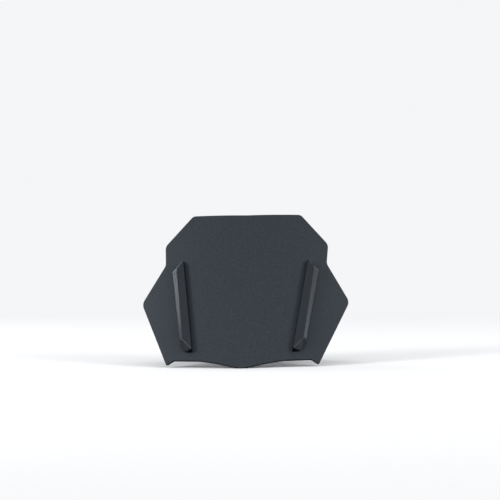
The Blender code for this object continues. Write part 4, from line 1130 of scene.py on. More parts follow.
@dataclass(frozen=True)
class FixingStack:
    """Grommet, sleeve, insert, washer and screw of one fixing, by depth along the panel's normal."""

    screw_radius: float = 0.0020
    insert_wall: float = 0.0010
    insert_length: float = 0.0054
    sleeve_wall: float = 0.0009
    grommet_wall: float = 0.0015
    flange_radius: float = 0.0070
    flange: float = 0.0017
    boss_length: float = 0.0137
    washer_radius: float = 0.0050
    washer: float = 0.0010
    head_radius: float = 0.0040
    head: float = 0.0030
    crown: float = 0.6
    socket_share: float = 0.45
    grommet_edge: float = 0.0004

    @property
    def bore(self) -> float:
        """Radius of a hole that the screw passes through."""
        return self.screw_radius + GAP

    @property
    def grommet_bore(self) -> float:
        """Radius of the grommet's bore, around the sleeve."""
        return self.bore + self.sleeve_wall + GAP

    @property
    def panel_hole(self) -> float:
        """Radius of the hole in the panel."""
        return self.grommet_bore + self.grommet_wall + GAP

    @property
    def insert_radius(self) -> float:
        """Outer radius of the threaded insert."""
        return self.bore + self.insert_wall

    @property
    def front(self) -> float:
        """Front of the grommet."""
        return GAP + self.flange

    @property
    def back(self) -> float:
        """Back of the grommet."""
        return -SURFACE.thickness - GAP - self.flange

    @property
    def boss_back(self) -> float:
        """Back of the cover's boss."""
        return self.front + GAP

    @property
    def insert_front(self) -> float:
        """Front of the insert."""
        return self.boss_back + GAP + self.insert_length

    @property
    def arm_boss(self) -> Point:
        """Back and front of the arm's boss."""
        return self.back - GAP - self.boss_length, self.back - GAP

    def build(self, tag: str, place: Matrix) -> None:
        """Build the five pieces of one fixing.

        Args:
            tag: The side and the place, as in the nodes' names.
            place: The frame on the panel's front face.
        """
        thick = SURFACE.thickness
        profile = [
            (self.grommet_bore, self.front), (self.flange_radius, self.front), (self.flange_radius, GAP),
            (self.panel_hole - GAP, GAP), (self.panel_hole - GAP, -thick - GAP),
            (self.flange_radius, -thick - GAP), (self.flange_radius, self.back),
            (self.grommet_bore, self.back),
        ]
        grommet = Bench.turned("grommet", profile, place, ring=True, edge=self.grommet_edge)
        Bench.hand_over(grommet, f"grommet_{tag}", RUBBER)
        sleeve = Bench.tube("sleeve", self.grommet_bore - GAP, self.bore, self.back, self.front, place)
        Bench.hand_over(sleeve, f"sleeve_{tag}", ZINC)
        low = self.boss_back + GAP
        insert = Bench.tube("insert", self.insert_radius, self.bore, low, self.insert_front, place)
        Bench.hand_over(insert, f"insert_{tag}", BRASS)
        washer_front = self.arm_boss[0] - GAP
        washer = Bench.tube(
            "washer", self.washer_radius, self.bore, washer_front - self.washer, washer_front, place
        )
        Bench.hand_over(washer, f"washer_{tag}", ZINC)
        seat = washer_front - self.washer - GAP
        outwards = place @ Matrix.Translation((0.0, 0.0, seat)) @ Matrix.Rotation(math.pi, 4, "X")
        length = self.insert_front - GAP - seat
        screw = Bolt(
            self.screw_radius, self.head_radius, self.head, length, self.socket_share, OXIDE_STEEL, self.crown
        )
        screw.build(f"screen_screw_{tag}", outwards)


# ---------------------------------------------------------------------------------------- arms
@dataclass(frozen=True)
class ScreenArm:
    """A stiff arm: a rail behind the screen, a web to its two pivots, and two bosses."""

    boss_radius: float = 0.0075
    eye_radius: float = 0.0090
    ring_step: float = 0.0010
    pin_radius: float = 0.0040
    rail_front: float = 0.008
    rail_depth: float = 0.0085
    corner_radius: float = 0.003
    web_below: float = 0.006
    web_above: float = 0.004
    edge_radius: float = 0.0006
    folds: int = 8
    brace_along: float = 0.030
    brace_depth: float = 0.027
    brace_radius: float = 0.0055
    brace_bolt: Bolt = Bolt(0.0030, 0.0055, 0.0032, 0.029)
    pivot_pin: Bolt = Bolt(0.0040, 0.0070, 0.0030, 0.0)
    nut: Nut = Nut()

    def direction(self, cover: FixingCover) -> tuple[Vector, Vector, Vector, float]:
        """Start, way along, way forwards and length of the arm, in the (y, z) plane.

        Args:
            cover: The cover, which says where the screws are.

        Returns:
            Start, way along, way forwards and length.
        """
        lower, upper = (SURFACE.point(*spot) for spot in cover.fixings(1).values())
        start = Vector((lower.y, lower.z))
        along = Vector((upper.y, upper.z)) - start
        length = along.length
        along.normalize()
        return start, along, Vector((-along.y, along.x)), length

    def local(self, cover: FixingCover, place: Point) -> Point:
        """A (y, z) place as (along, forward) on the arm.

        Args:
            cover: The cover, which says where the screws are.
            place: The (y, z) place.

        Returns:
            The place as (along, forward).
        """
        start, along, forward, _ = self.direction(cover)
        offset = Vector(place) - start
        return offset.dot(along), offset.dot(forward)

    def world(self, cover: FixingCover, along_arm: float, forward_of_arm: float) -> Point:
        """An (along, forward) place on the arm as (y, z)."""
        start, along, forward, _ = self.direction(cover)
        return tuple(start + along * along_arm + forward * forward_of_arm)

    def outline(self, cover: FixingCover) -> list[Point]:
        """The arm from the side.

        Args:
            cover: The cover, which says where the screws are.

        Returns:
            The outline as (y, z) points.
        """
        length = self.direction(cover)[3]
        low = self.local(cover, AXES.lower_arm)
        high = self.local(cover, AXES.upper_arm)
        front, back = -self.rail_front, -self.rail_front - self.rail_depth
        web_low = self.boss_radius + self.web_below
        web_high = length - self.boss_radius - self.web_above
        eye, corner = self.eye_radius, self.corner_radius
        corners = [
            (-self.boss_radius, front, corner),
            (length + self.boss_radius, front, corner),
            (length + self.boss_radius, back, corner),
            (web_high, back, corner),
            (high[0] + eye, high[1] - eye, eye),
            (low[0] - eye, low[1] - eye, eye),
            (web_low, back, corner),
            (-self.boss_radius, back, corner),
        ]
        return Outline.rounded([(*self.world(cover, u, v), radius) for u, v, radius in corners])

    def lean(self, cover: FixingCover, stack: FixingStack, place: Point) -> float:
        """Sideways shift of the arm at a (y, z) place: its top joggles out to the upper boss.

        Args:
            cover: The cover, which says where the screws are.
            stack: The sizes of the fixing.
            place: The (y, z) place.

        Returns:
            The shift away from the middle plane.
        """
        length = self.direction(cover)[3]
        start = self.local(cover, AXES.upper_arm)[0] + self.eye_radius
        x, height = cover.fixings(1)["upper"]
        boss_x = SURFACE.point(x, height, sum(stack.arm_boss) / 2).x
        share = (self.local(cover, place)[0] - start) / (length - start)
        return min(max(share, 0.0), 1.0) * (boss_x - (WIDTHS.arm_inside + WIDTHS.arm_outside) / 2)

    def build(self, side_name: str, side: int, cover: FixingCover, stack: FixingStack) -> None:
        """Build one arm with its bosses, spacer rings and bores, and its two pins and nuts.

        Args:
            side_name: The side, as in the nodes' names.
            side: 1 on the rider's left and -1 on the right.
            cover: The cover, which says where the screws are.
            stack: The sizes of the fixing.
        """
        middle = (WIDTHS.arm_inside + WIDTHS.arm_outside) / 2
        arm = Bench.plate("arm", self.outline(cover), WIDTHS.arm, Matrix.Identity(4), self.edge_radius)
        start, along, _, length = self.direction(cover)
        first = self.local(cover, AXES.upper_arm)[0] + self.eye_radius
        Bench.activate(arm)
        bpy.ops.object.mode_set(mode="EDIT")
        for i in range(self.folds + 1):
            fold = start + along * (first + (length - first) * i / self.folds)
            bpy.ops.mesh.select_all(action="SELECT")
            bpy.ops.mesh.bisect(plane_co=(*fold, 0.0), plane_no=(*along, 0.0))
        bpy.ops.object.mode_set(mode="OBJECT")
        for vertex in arm.data.vertices:
            shift = self.lean(cover, stack, tuple(vertex.co.xy))
            vertex.co.z = vertex.co.z + side * (middle + shift)
        Bench.place(arm, plate_frame(0.0))
        for spot in cover.fixings(side).values():
            place = SURFACE.frame(*spot)
            low, high = stack.arm_boss
            profile = [(self.boss_radius, low), (self.boss_radius, high)]
            boss = Bench.turned("boss", profile, place, edge=SOFT_EDGE)
            Bench.combine(arm, boss, "UNION")
            Bench.drill(arm, stack.bore, low, high, place)
        ring_radius = self.eye_radius - self.ring_step
        for axis in (AXES.lower_arm, AXES.upper_arm):
            place = side_frame(side, WIDTHS.arm_inside, axis)
            ring = [(ring_radius, -WIDTHS.spacer), (ring_radius, OVERCUT)]
            Bench.combine(arm, Bench.turned("ring", ring, place, edge=FINE_EDGE), "UNION")
            Bench.drill(arm, self.pin_radius + GAP, -WIDTHS.spacer, WIDTHS.arm, place)
        place = side_frame(side, WIDTHS.arm_inside, self.brace_axis(cover))
        Bench.drill(arm, self.brace_bolt.radius + GAP, 0.0, WIDTHS.arm, place)
        Bench.hand_over(arm, f"arm_{side_name}", ANODISED)
        self.build_pins(side_name, side)

    def build_pins(self, side_name: str, side: int) -> None:
        """Build the pin and the nut of both pivots of one arm.

        Args:
            side_name: The side, as in the nodes' names.
            side: 1 on the rider's left and -1 on the right.
        """
        nut_outside = WIDTHS.lever_inside - GAP
        head = WIDTHS.arm_outside + GAP
        length = head - nut_outside + self.nut.thickness
        pin = Bolt(self.pivot_pin.radius, self.pivot_pin.head_radius, self.pivot_pin.head, length)
        for place, axis in (("lower", AXES.lower_arm), ("upper", AXES.upper_arm)):
            pin.build(f"pivot_pin_{side_name}_{place}", side_frame(side, head, axis))
            middle = nut_outside - self.nut.thickness / 2
            self.nut.build(f"pivot_nut_{side_name}_{place}", side_frame(side, middle, axis))

    def brace_axis(self, cover: FixingCover) -> Point:
        """(y, z) of the bar that ties the two arms."""
        return self.world(cover, self.brace_along, -self.brace_depth)

    def build_brace(self, cover: FixingCover) -> None:
        """Build the bar between the arms and its two bolts.

        Args:
            cover: The cover, which says where the screws are.
        """
        axis = self.brace_axis(cover)
        end = WIDTHS.arm_inside - GAP
        bore = self.brace_bolt.radius + GAP
        across = side_frame(1, 0.0, axis)
        brace = Bench.tube("brace", self.brace_radius, bore, -end, end, across, SOFT_EDGE)
        Bench.hand_over(brace, "arm_brace_tube", POWDER_COAT)
        for side_name, side in SIDES.items():
            self.brace_bolt.build(f"brace_bolt_{side_name}", side_frame(side, WIDTHS.arm_outside + GAP, axis))


# ---------------------------------------------------------------------------------------- levers
@dataclass(frozen=True)
class LeverSet:
    """The driven lower levers on the torque tube and the idle upper levers."""

    eye_radius: float = 0.0090
    hub_radius: float = 0.0120
    hub_step: float = 0.0005
    hub_length: float = 0.0080
    ring_step: float = 0.0010
    pin_radius: float = 0.0040
    tube_radius: float = 0.0070
    tube_flat: float = 0.0055
    tube_end_inset: float = 0.0005
    tube_edge: float = 0.0004
    bore_length: float = 0.05
    flat_steps: int = 16
    hub_edge: float = 0.0006
    edge_radius: float = 0.0008
    hub_bolt: Bolt = Bolt(0.0040, 0.0085, 0.0036, 0.024)

    @property
    def hub_end(self) -> float:
        """Outer end of the lower lever's hub."""
        return WIDTHS.lever_inside + WIDTHS.lever / 2 + self.hub_length

    def flatted(self, radius: float, half_flat: float) -> list[Point]:
        """A circle around the torque axis with two flats, above and below.

        Args:
            radius: The radius.
            half_flat: How far each flat is from the axis.

        Returns:
            The outline as (y, z) points.
        """
        turn = math.asin(half_flat / radius)
        right = Outline.arc(AXES.torque, radius, -turn, turn, self.flat_steps)
        return right + Outline.arc(AXES.torque, radius, math.pi - turn, math.pi + turn, self.flat_steps)

    def build_lower(self, side_name: str, side: int) -> None:
        """Build one driven lever: a flatted hub on the torque tube and an eye for the arm's pin.

        Args:
            side_name: The side, as in the nodes' names.
            side: 1 on the rider's left and -1 on the right.
        """
        middle = side * (WIDTHS.lever_inside + WIDTHS.lever / 2)
        outline = Outline.belt([(AXES.torque, self.hub_radius), (AXES.lower_arm, self.eye_radius)])
        lever = Bench.plate("lower_lever", outline, WIDTHS.lever, plate_frame(middle), self.edge_radius)
        place = side_frame(side, WIDTHS.lever_inside, AXES.torque)
        radius = self.hub_radius - self.hub_step
        hub = [(radius, WIDTHS.lever / 2), (radius, WIDTHS.lever / 2 + self.hub_length)]
        Bench.combine(lever, Bench.turned("hub", hub, place, edge=self.hub_edge), "UNION")
        bore = self.flatted(self.tube_radius + GAP, self.tube_flat + GAP)
        Bench.combine(lever, Bench.plate("bore", bore, self.bore_length, plate_frame(middle)), "DIFFERENCE")
        eye = side_frame(side, WIDTHS.lever_inside, AXES.lower_arm)
        Bench.drill(lever, self.pin_radius + GAP, 0.0, WIDTHS.lever, eye)
        Bench.hand_over(lever, f"lower_lever_{side_name}", ANODISED)

    def build_upper(self, side_name: str, side: int) -> None:
        """Build one idle lever: an eye with a raised ring on the cheek and an eye on the arm's pin.

        Args:
            side_name: The side, as in the nodes' names.
            side: 1 on the rider's left and -1 on the right.
        """
        middle = side * (WIDTHS.lever_inside + WIDTHS.lever / 2)
        outline = Outline.belt([(AXES.upper_base, self.eye_radius), (AXES.upper_arm, self.eye_radius)])
        lever = Bench.plate("upper_lever", outline, WIDTHS.lever, plate_frame(middle), self.edge_radius)
        place = side_frame(side, WIDTHS.lever_inside, AXES.upper_base)
        radius = self.eye_radius - self.ring_step
        low = WIDTHS.cheek_outside + GAP - WIDTHS.lever_inside
        ring = Bench.turned("ring", [(radius, low), (radius, WIDTHS.lever / 2)], place, edge=FINE_EDGE)
        Bench.combine(lever, ring, "UNION")
        Bench.drill(lever, self.pin_radius + GAP, low, WIDTHS.lever, place)
        eye = side_frame(side, WIDTHS.lever_inside, AXES.upper_arm)
        Bench.drill(lever, self.pin_radius + GAP, 0.0, WIDTHS.lever, eye)
        Bench.hand_over(lever, f"upper_lever_{side_name}", ANODISED)

    def build_torque_tube(self) -> None:
        """Build the tube that ties the lower levers, with flats where they sit, and its end bolts."""
        end = self.hub_end - self.tube_end_inset
        place = side_frame(1, 0.0, AXES.torque)
        bore = self.hub_bolt.radius + GAP
        tube = Bench.tube("torque_tube", self.tube_radius, bore, -end, end, place, self.tube_edge)
        y, z = AXES.torque
        reach = self.tube_radius + OVERCUT
        for side_name, side in SIDES.items():
            start = WIDTHS.lever_inside - GAP
            middle = side * (start + end + OVERCUT) / 2
            for sign in (1, -1):
                low, high = sorted((z + sign * self.tube_flat, z + sign * reach))
                block = [(y - reach, low), (y + reach, low), (y + reach, high), (y - reach, high)]
                flat = Bench.plate("flat", block, end + OVERCUT - start, plate_frame(middle))
                Bench.combine(tube, flat, "DIFFERENCE")
            self.hub_bolt.build(f"hub_bolt_{side_name}", side_frame(side, self.hub_end + GAP, AXES.torque))
        Bench.hand_over(tube, "torque_tube", POWDER_COAT)


# ---------------------------------------------------------------------------------------- base
@dataclass(frozen=True)
class BaseFrame:
    """Two cheeks with feet turned inwards, two tubes that hold them apart, and the bushes."""

    foot_length: float = 0.070
    foot_width: float = 0.028
    foot: float = 0.004
    foot_corner: float = 0.006
    foot_hole: float = 0.0034
    foot_hole_spacing: float = 0.042
    foot_hole_inset: float = 0.0174
    rim: float = 0.0055
    bush_wall: float = 0.0020
    bush_flange_radius: float = 0.0115
    bush_overhang: float = 0.0015
    tube_radius: float = 0.0070
    pin_radius: float = 0.0040
    bearing_radius: float = 0.0073
    bearing_flange: float = 0.0017
    bearing_flange_radius: float = 0.0100
    shaft_radius: float = 0.0050
    washer: float = 0.0012
    washer_radius: float = 0.0090
    tie_radius: float = 0.0070
    cross_radius: float = 0.0060
    edge_radius: float = 0.0006
    cross_bolt: Bolt = Bolt(0.0030, 0.0055, 0.0032, 0.024)
    pivot_bolt: Bolt = Bolt(0.0040, 0.0070, 0.0030, 0.024)

    def build_cheek(self, side_name: str, side: int) -> None:
        """Build one cheek with its foot, its bores and the two holes of the foot.

        Args:
            side_name: The side, as in the nodes' names.
            side: 1 on the rider's left and -1 on the right.
        """
        bush = self.tube_radius + GAP + self.bush_wall
        circles = [
            (AXES.torque, bush + self.rim), (AXES.upper_base, self.pin_radius + self.rim),
            (AXES.pinion, self.bearing_radius + self.rim), (AXES.cross, self.cross_bolt.radius + self.rim),
        ]
        half = self.foot_length / 2
        belt = Outline.belt(circles, [(-half, 0.0), (half, 0.0)])
        outline = [(y, max(z, 0.0)) for y, z in belt if z > -MERGE]
        middle = side * (WIDTHS.cheek_inside + WIDTHS.cheek / 2)
        cheek = Bench.plate("cheek", outline, WIDTHS.cheek, plate_frame(middle), self.edge_radius)
        inner = side * (WIDTHS.cheek_inside - self.foot_width)
        corner = self.foot_corner
        base = [(inner, -half, corner), (inner, half, corner), (middle, half, 0.0), (middle, -half, 0.0)]
        level = Matrix.Translation((0.0, 0.0, self.foot / 2))
        foot = Bench.plate("foot", Outline.rounded(base), self.foot, level, self.edge_radius)
        Bench.combine(cheek, foot, "UNION")
        bores = [
            (AXES.torque, bush), (AXES.upper_base, self.pin_radius), (AXES.cross, self.cross_bolt.radius),
        ]
        if side < 0:
            bores.append((AXES.pinion, self.bearing_radius))
        for axis, radius in bores:
            Bench.drill(cheek, radius + GAP, 0.0, WIDTHS.cheek, side_frame(side, WIDTHS.cheek_inside, axis))
        for sign in (1, -1):
            x = side * (WIDTHS.cheek_inside - self.foot_hole_inset)
            place = Matrix.Translation((x, sign * self.foot_hole_spacing / 2, 0.0))
            Bench.drill(cheek, self.foot_hole, 0.0, self.foot, place, rim=SOFT_EDGE)
        Bench.hand_over(cheek, f"side_bracket_{side_name}", POWDER_COAT)

    def build_bushes(self) -> None:
        """Build the torque tube's flanged bushes, and the pinion's bearing and friction washer."""
        bore = self.tube_radius + GAP
        outer = bore + self.bush_wall
        end = -WIDTHS.cheek - self.bush_overhang
        flange = GAP + WIDTHS.bush_flange
        profile = [
            (bore, flange), (self.bush_flange_radius, flange), (self.bush_flange_radius, GAP),
            (outer, GAP), (outer, end), (bore, end),
        ]
        for side_name, side in SIDES.items():
            place = side_frame(side, WIDTHS.cheek_outside, AXES.torque)
            bush = Bench.turned("bush", profile, place, ring=True, edge=TINY_EDGE)
            Bench.hand_over(bush, f"torque_bush_{side_name}", NYLON)
        bore = self.shaft_radius + GAP
        flange = GAP + self.bearing_flange
        profile = [
            (bore, flange), (self.bearing_flange_radius, flange), (self.bearing_flange_radius, GAP),
            (self.bearing_radius, GAP), (self.bearing_radius, -WIDTHS.cheek), (bore, -WIDTHS.cheek),
        ]
        place = side_frame(-1, WIDTHS.cheek_outside, AXES.pinion)
        bearing = Bench.turned("bearing", profile, place, ring=True, edge=TINY_EDGE)
        Bench.hand_over(bearing, "pinion_bearing", NYLON)
        low = flange + GAP
        washer = Bench.tube("washer", self.washer_radius, bore, low, low + self.washer, place)
        Bench.hand_over(washer, "friction_washer", ZINC)

    def build_tubes(self) -> None:
        """Build the tie tube, the cross tube and the bolts at their ends."""
        end = WIDTHS.cheek_inside - GAP
        for node, axis, radius, bolt in (
            ("tie_tube", AXES.upper_base, self.tie_radius, self.pivot_bolt),
            ("cross_tube", AXES.cross, self.cross_radius, self.cross_bolt),
        ):
            across = side_frame(1, 0.0, axis)
            tube = Bench.tube(node, radius, bolt.radius + GAP, -end, end, across, SOFT_EDGE)
            Bench.hand_over(tube, node, POWDER_COAT)
        length = WIDTHS.lever_outside - WIDTHS.cheek_inside + self.pivot_bolt.length / 2
        pivot = Bolt(self.pivot_bolt.radius, self.pivot_bolt.head_radius, self.pivot_bolt.head, length)
        for side_name, side in SIDES.items():
            head = side_frame(side, WIDTHS.lever_outside + GAP, AXES.upper_base)
            pivot.build(f"pivot_bolt_{side_name}", head)
            head = side_frame(side, WIDTHS.cheek_outside + GAP, AXES.cross)
            self.cross_bolt.build(f"cross_bolt_{side_name}", head)


# ---------------------------------------------------------------------------------------- drive
@dataclass(frozen=True)
class GearDrive:
    """The toothed sector on the torque tube, the pinion on its shaft and the hand knob."""

    module: float = 0.0015
    sector_teeth: int = 44
    sector_teeth_cut: int = 9
    pinion_teeth: int = 8
    teeth_before_contact: int = 2
    contact_angle: float = math.radians(-10)
    pressure_angle: float = math.radians(25)
    addendum: float = 0.0011
    dedendum: float = 0.0014
    backlash: float = 0.00035
    flank_steps: int = 7
    sector: float = 0.006
    sector_hub_radius: float = 0.0128
    sector_hub_step: float = 0.0008
    sector_hub_length: float = 0.012
    sector_inset: float = 0.006
    sector_back: float = math.radians(55)
    window_angle: float = math.radians(18)
    window_rim: float = 0.0004
    arc_steps: int = 4
    back_steps: int = 40
    tooth_edge: float = 0.00015
    shaft_edge: float = 0.0001
    shaft_chamfer: float = 0.0005
    tube_radius: float = 0.0070
    overhang: float = 0.001
    shaft_radius: float = 0.0050
    neck_step: float = 0.0002
    knob_seat: float = 0.0038
    knob_radius: float = 0.0200
    knob_length: float = 0.018
    knob_lobes: int = 8
    knob_lobe_depth: float = 0.0011
    knob_lobe_steps: int = 16
    knob_edge: float = 0.0016
    knob_edge_limit: float = 50.0
    knob_edge_steps: int = 5
    knob_neck_radius: float = 0.0085
    knob_neck: float = 0.0125
    recess_radius: float = 0.0075
    recess_depth: float = 0.0045
    knob_screw: Bolt = Bolt(0.0020, 0.0055, 0.0030, 0.012)

    @property
    def sector_pitch(self) -> float:
        """Pitch radius of the sector."""
        return self.module * self.sector_teeth / 2

    @property
    def pinion_pitch(self) -> float:
        """Pitch radius of the pinion."""
        return self.module * self.pinion_teeth / 2

    @property
    def middle_x(self) -> float:
        """How far the gears' middle plane is from the middle of the assembly."""
        return WIDTHS.cheek_inside - self.sector_inset - self.sector / 2

    @property
    def knob_inside(self) -> float:
        """Inner end of the knob's neck."""
        return WIDTHS.cheek_outside + self.knob_seat

    def tooth(self, centre: Point, angle: float, pitch: float, teeth: int) -> list[Point]:
        """Points over one tooth with involute flanks.

        Args:
            centre: The gear's axis.
            angle: Where the tooth points.
            pitch: The gear's pitch radius.
            teeth: The gear's number of teeth.

        Returns:
            The tooth's points, in the direction of rising angle.
        """
        base = pitch * math.cos(self.pressure_angle)
        root, tip = pitch - self.dedendum, pitch + self.addendum
        half = math.pi / (2 * teeth) - self.backlash / (2 * pitch)
        start = max(base, root)
        flank = [] if root >= start else [(root, None)]
        for i in range(self.flank_steps + 1):
            radius = start + (tip - start) * i / self.flank_steps
            pressure = math.acos(base / radius)
            swing = math.tan(self.pressure_angle) - self.pressure_angle - math.tan(pressure) + pressure
            flank.append((radius, half + swing))
        flank = [(radius, flank[1][1] if turn is None else turn) for radius, turn in flank]
        turns = [(r, angle - t) for r, t in flank] + [(r, angle + t) for r, t in reversed(flank)]
        return [(centre[0] + r * math.cos(t), centre[1] + r * math.sin(t)) for r, t in turns]

    def build_sector(self) -> None:
        """Build the sector with its hub, bore and three round windows."""
        step = 2 * math.pi / self.sector_teeth
        teeth: list[Point] = []
        for i in range(self.sector_teeth_cut):
            angle = self.contact_angle + (i - self.teeth_before_contact + 0.5) * step
            teeth += self.tooth(AXES.torque, angle, self.sector_pitch, self.sector_teeth)
        low = self.contact_angle - self.teeth_before_contact * step
        high = low + self.sector_teeth_cut * step
        root = self.sector_pitch - self.dedendum
        hub = self.sector_hub_radius
        start = Outline.arc(AXES.torque, root, low - step / 3, low, self.arc_steps)
        end = Outline.arc(AXES.torque, root, high, high + step / 3, self.arc_steps)
        back = Outline.arc(
            AXES.torque, hub, high + self.sector_back, low - self.sector_back + 2 * math.pi, self.back_steps
        )
        outline = start + teeth + end + back
        sector = Bench.plate("sector", outline, self.sector, plate_frame(-self.middle_x), TINY_EDGE)
        place = side_frame(-1, self.middle_x, AXES.torque)
        radius = hub - self.sector_hub_step
        profile = [(radius, self.sector / 4 - self.sector_hub_length), (radius, self.sector / 4)]
        Bench.combine(sector, Bench.turned("hub", profile, place, edge=SOFT_EDGE), "UNION")
        low_end, high_end = self.sector / 4 - self.sector_hub_length, self.sector / 2
        Bench.drill(sector, self.tube_radius + GAP, low_end, high_end, place)
        middle = (low + high) / 2
        for y, z in Outline.arc(
            AXES.torque, (hub + root) / 2, middle - self.window_angle, middle + self.window_angle, 2
        ):
            window = side_frame(-1, self.middle_x, (y, z))
            Bench.drill(
                sector, (root - hub) / 4, -self.sector / 2, self.sector / 2, window, rim=self.window_rim
            )
        Bench.hand_over(sector, "sector_gear", GEAR_ZINC)

    def build_pinion(self) -> None:
        """Build the pinion with its stepped shaft and the thread for the knob's screw."""
        teeth: list[Point] = []
        for i in range(self.pinion_teeth):
            angle = self.contact_angle + math.pi + i * 2 * math.pi / self.pinion_teeth
            teeth += self.tooth(AXES.pinion, angle, self.pinion_pitch, self.pinion_teeth)
        width = self.sector + 2 * self.overhang
        pinion = Bench.plate("pinion", teeth, width, plate_frame(-self.middle_x), self.tooth_edge)
        neck = self.pinion_pitch - self.dedendum - self.neck_step
        step = WIDTHS.cheek_inside - GAP
        end = self.knob_inside + self.knob_neck + self.knob_length - self.recess_depth - GAP
        profile = [
            (neck, self.middle_x), (neck, step), (self.shaft_radius, step),
            (self.shaft_radius, end - self.shaft_chamfer), (self.shaft_radius - self.shaft_chamfer, end),
        ]
        place = side_frame(-1, 0.0, AXES.pinion)
        Bench.combine(pinion, Bench.turned("shaft", profile, place, edge=self.shaft_edge), "UNION")
        thread = self.knob_screw.length + OVERCUT
        Bench.bore(pinion, self.knob_screw.radius + GAP, end - thread, end + OVERCUT, place)
        Bench.hand_over(pinion, "pinion_shaft", ZINC)

    def build_knob(self) -> None:
        """Build the lobed knob with its neck, recess and bore, and its screw."""
        place = side_frame(-1, self.knob_inside, AXES.pinion)
        count = self.knob_lobes * self.knob_lobe_steps
        lobes: list[Point] = []
        for i in range(count):
            turn = 2 * math.pi * i / count
            radius = self.knob_radius - self.knob_lobe_depth * (1 - math.cos(self.knob_lobes * turn)) / 2
            lobes.append((radius * math.cos(turn), radius * math.sin(turn)))
        grip = place @ Matrix.Translation((0.0, 0.0, self.knob_neck + self.knob_length / 2))
        knob = Bench.plate("knob_body", lobes, self.knob_length, Matrix.Identity(4))
        Bench.soften(knob, self.knob_edge, limit=self.knob_edge_limit, segments=self.knob_edge_steps)
        Bench.place(knob, grip)
        top = self.knob_neck + self.knob_length
        neck = [(self.knob_neck_radius, 0.0), (self.knob_neck_radius, self.knob_neck + self.knob_length / 2)]
        Bench.combine(knob, Bench.turned("neck", neck, place, edge=SOFT_EDGE), "UNION")
        floor = top - self.recess_depth
        Bench.bore(knob, self.recess_radius, floor, top + OVERCUT, place)
        Bench.bore(knob, self.shaft_radius + GAP, -OVERCUT, top, place)
        Bench.hand_over(knob, "knob", KNOB)
        self.knob_screw.build("knob_screw", side_frame(-1, self.knob_inside + floor + GAP, AXES.pinion))


# ---------------------------------------------------------------------------------------- studio
@dataclass(frozen=True)
class Softbox:
    """A square light that the camera doesn't see."""

    name: str
    place: tuple[float, float, float]
    power: float
    size: float = 1.0

    def build(self, target: Vector, tint: Colour) -> None:
        """Hang the light at its place.

        Args:
            target: The point that it is aimed at.
            tint: The colour of its light.
        """
        light = bpy.data.lights.new(self.name, "AREA")
        light.size = self.size
        light.energy = self.power
        light.color = tint
        lamp = bpy.data.objects.new(self.name, light)
        lamp.matrix_world = frame_along(self.place, Vector(self.place) - target)
        lamp.visible_camera = False
        bpy.context.scene.collection.objects.link(lamp)


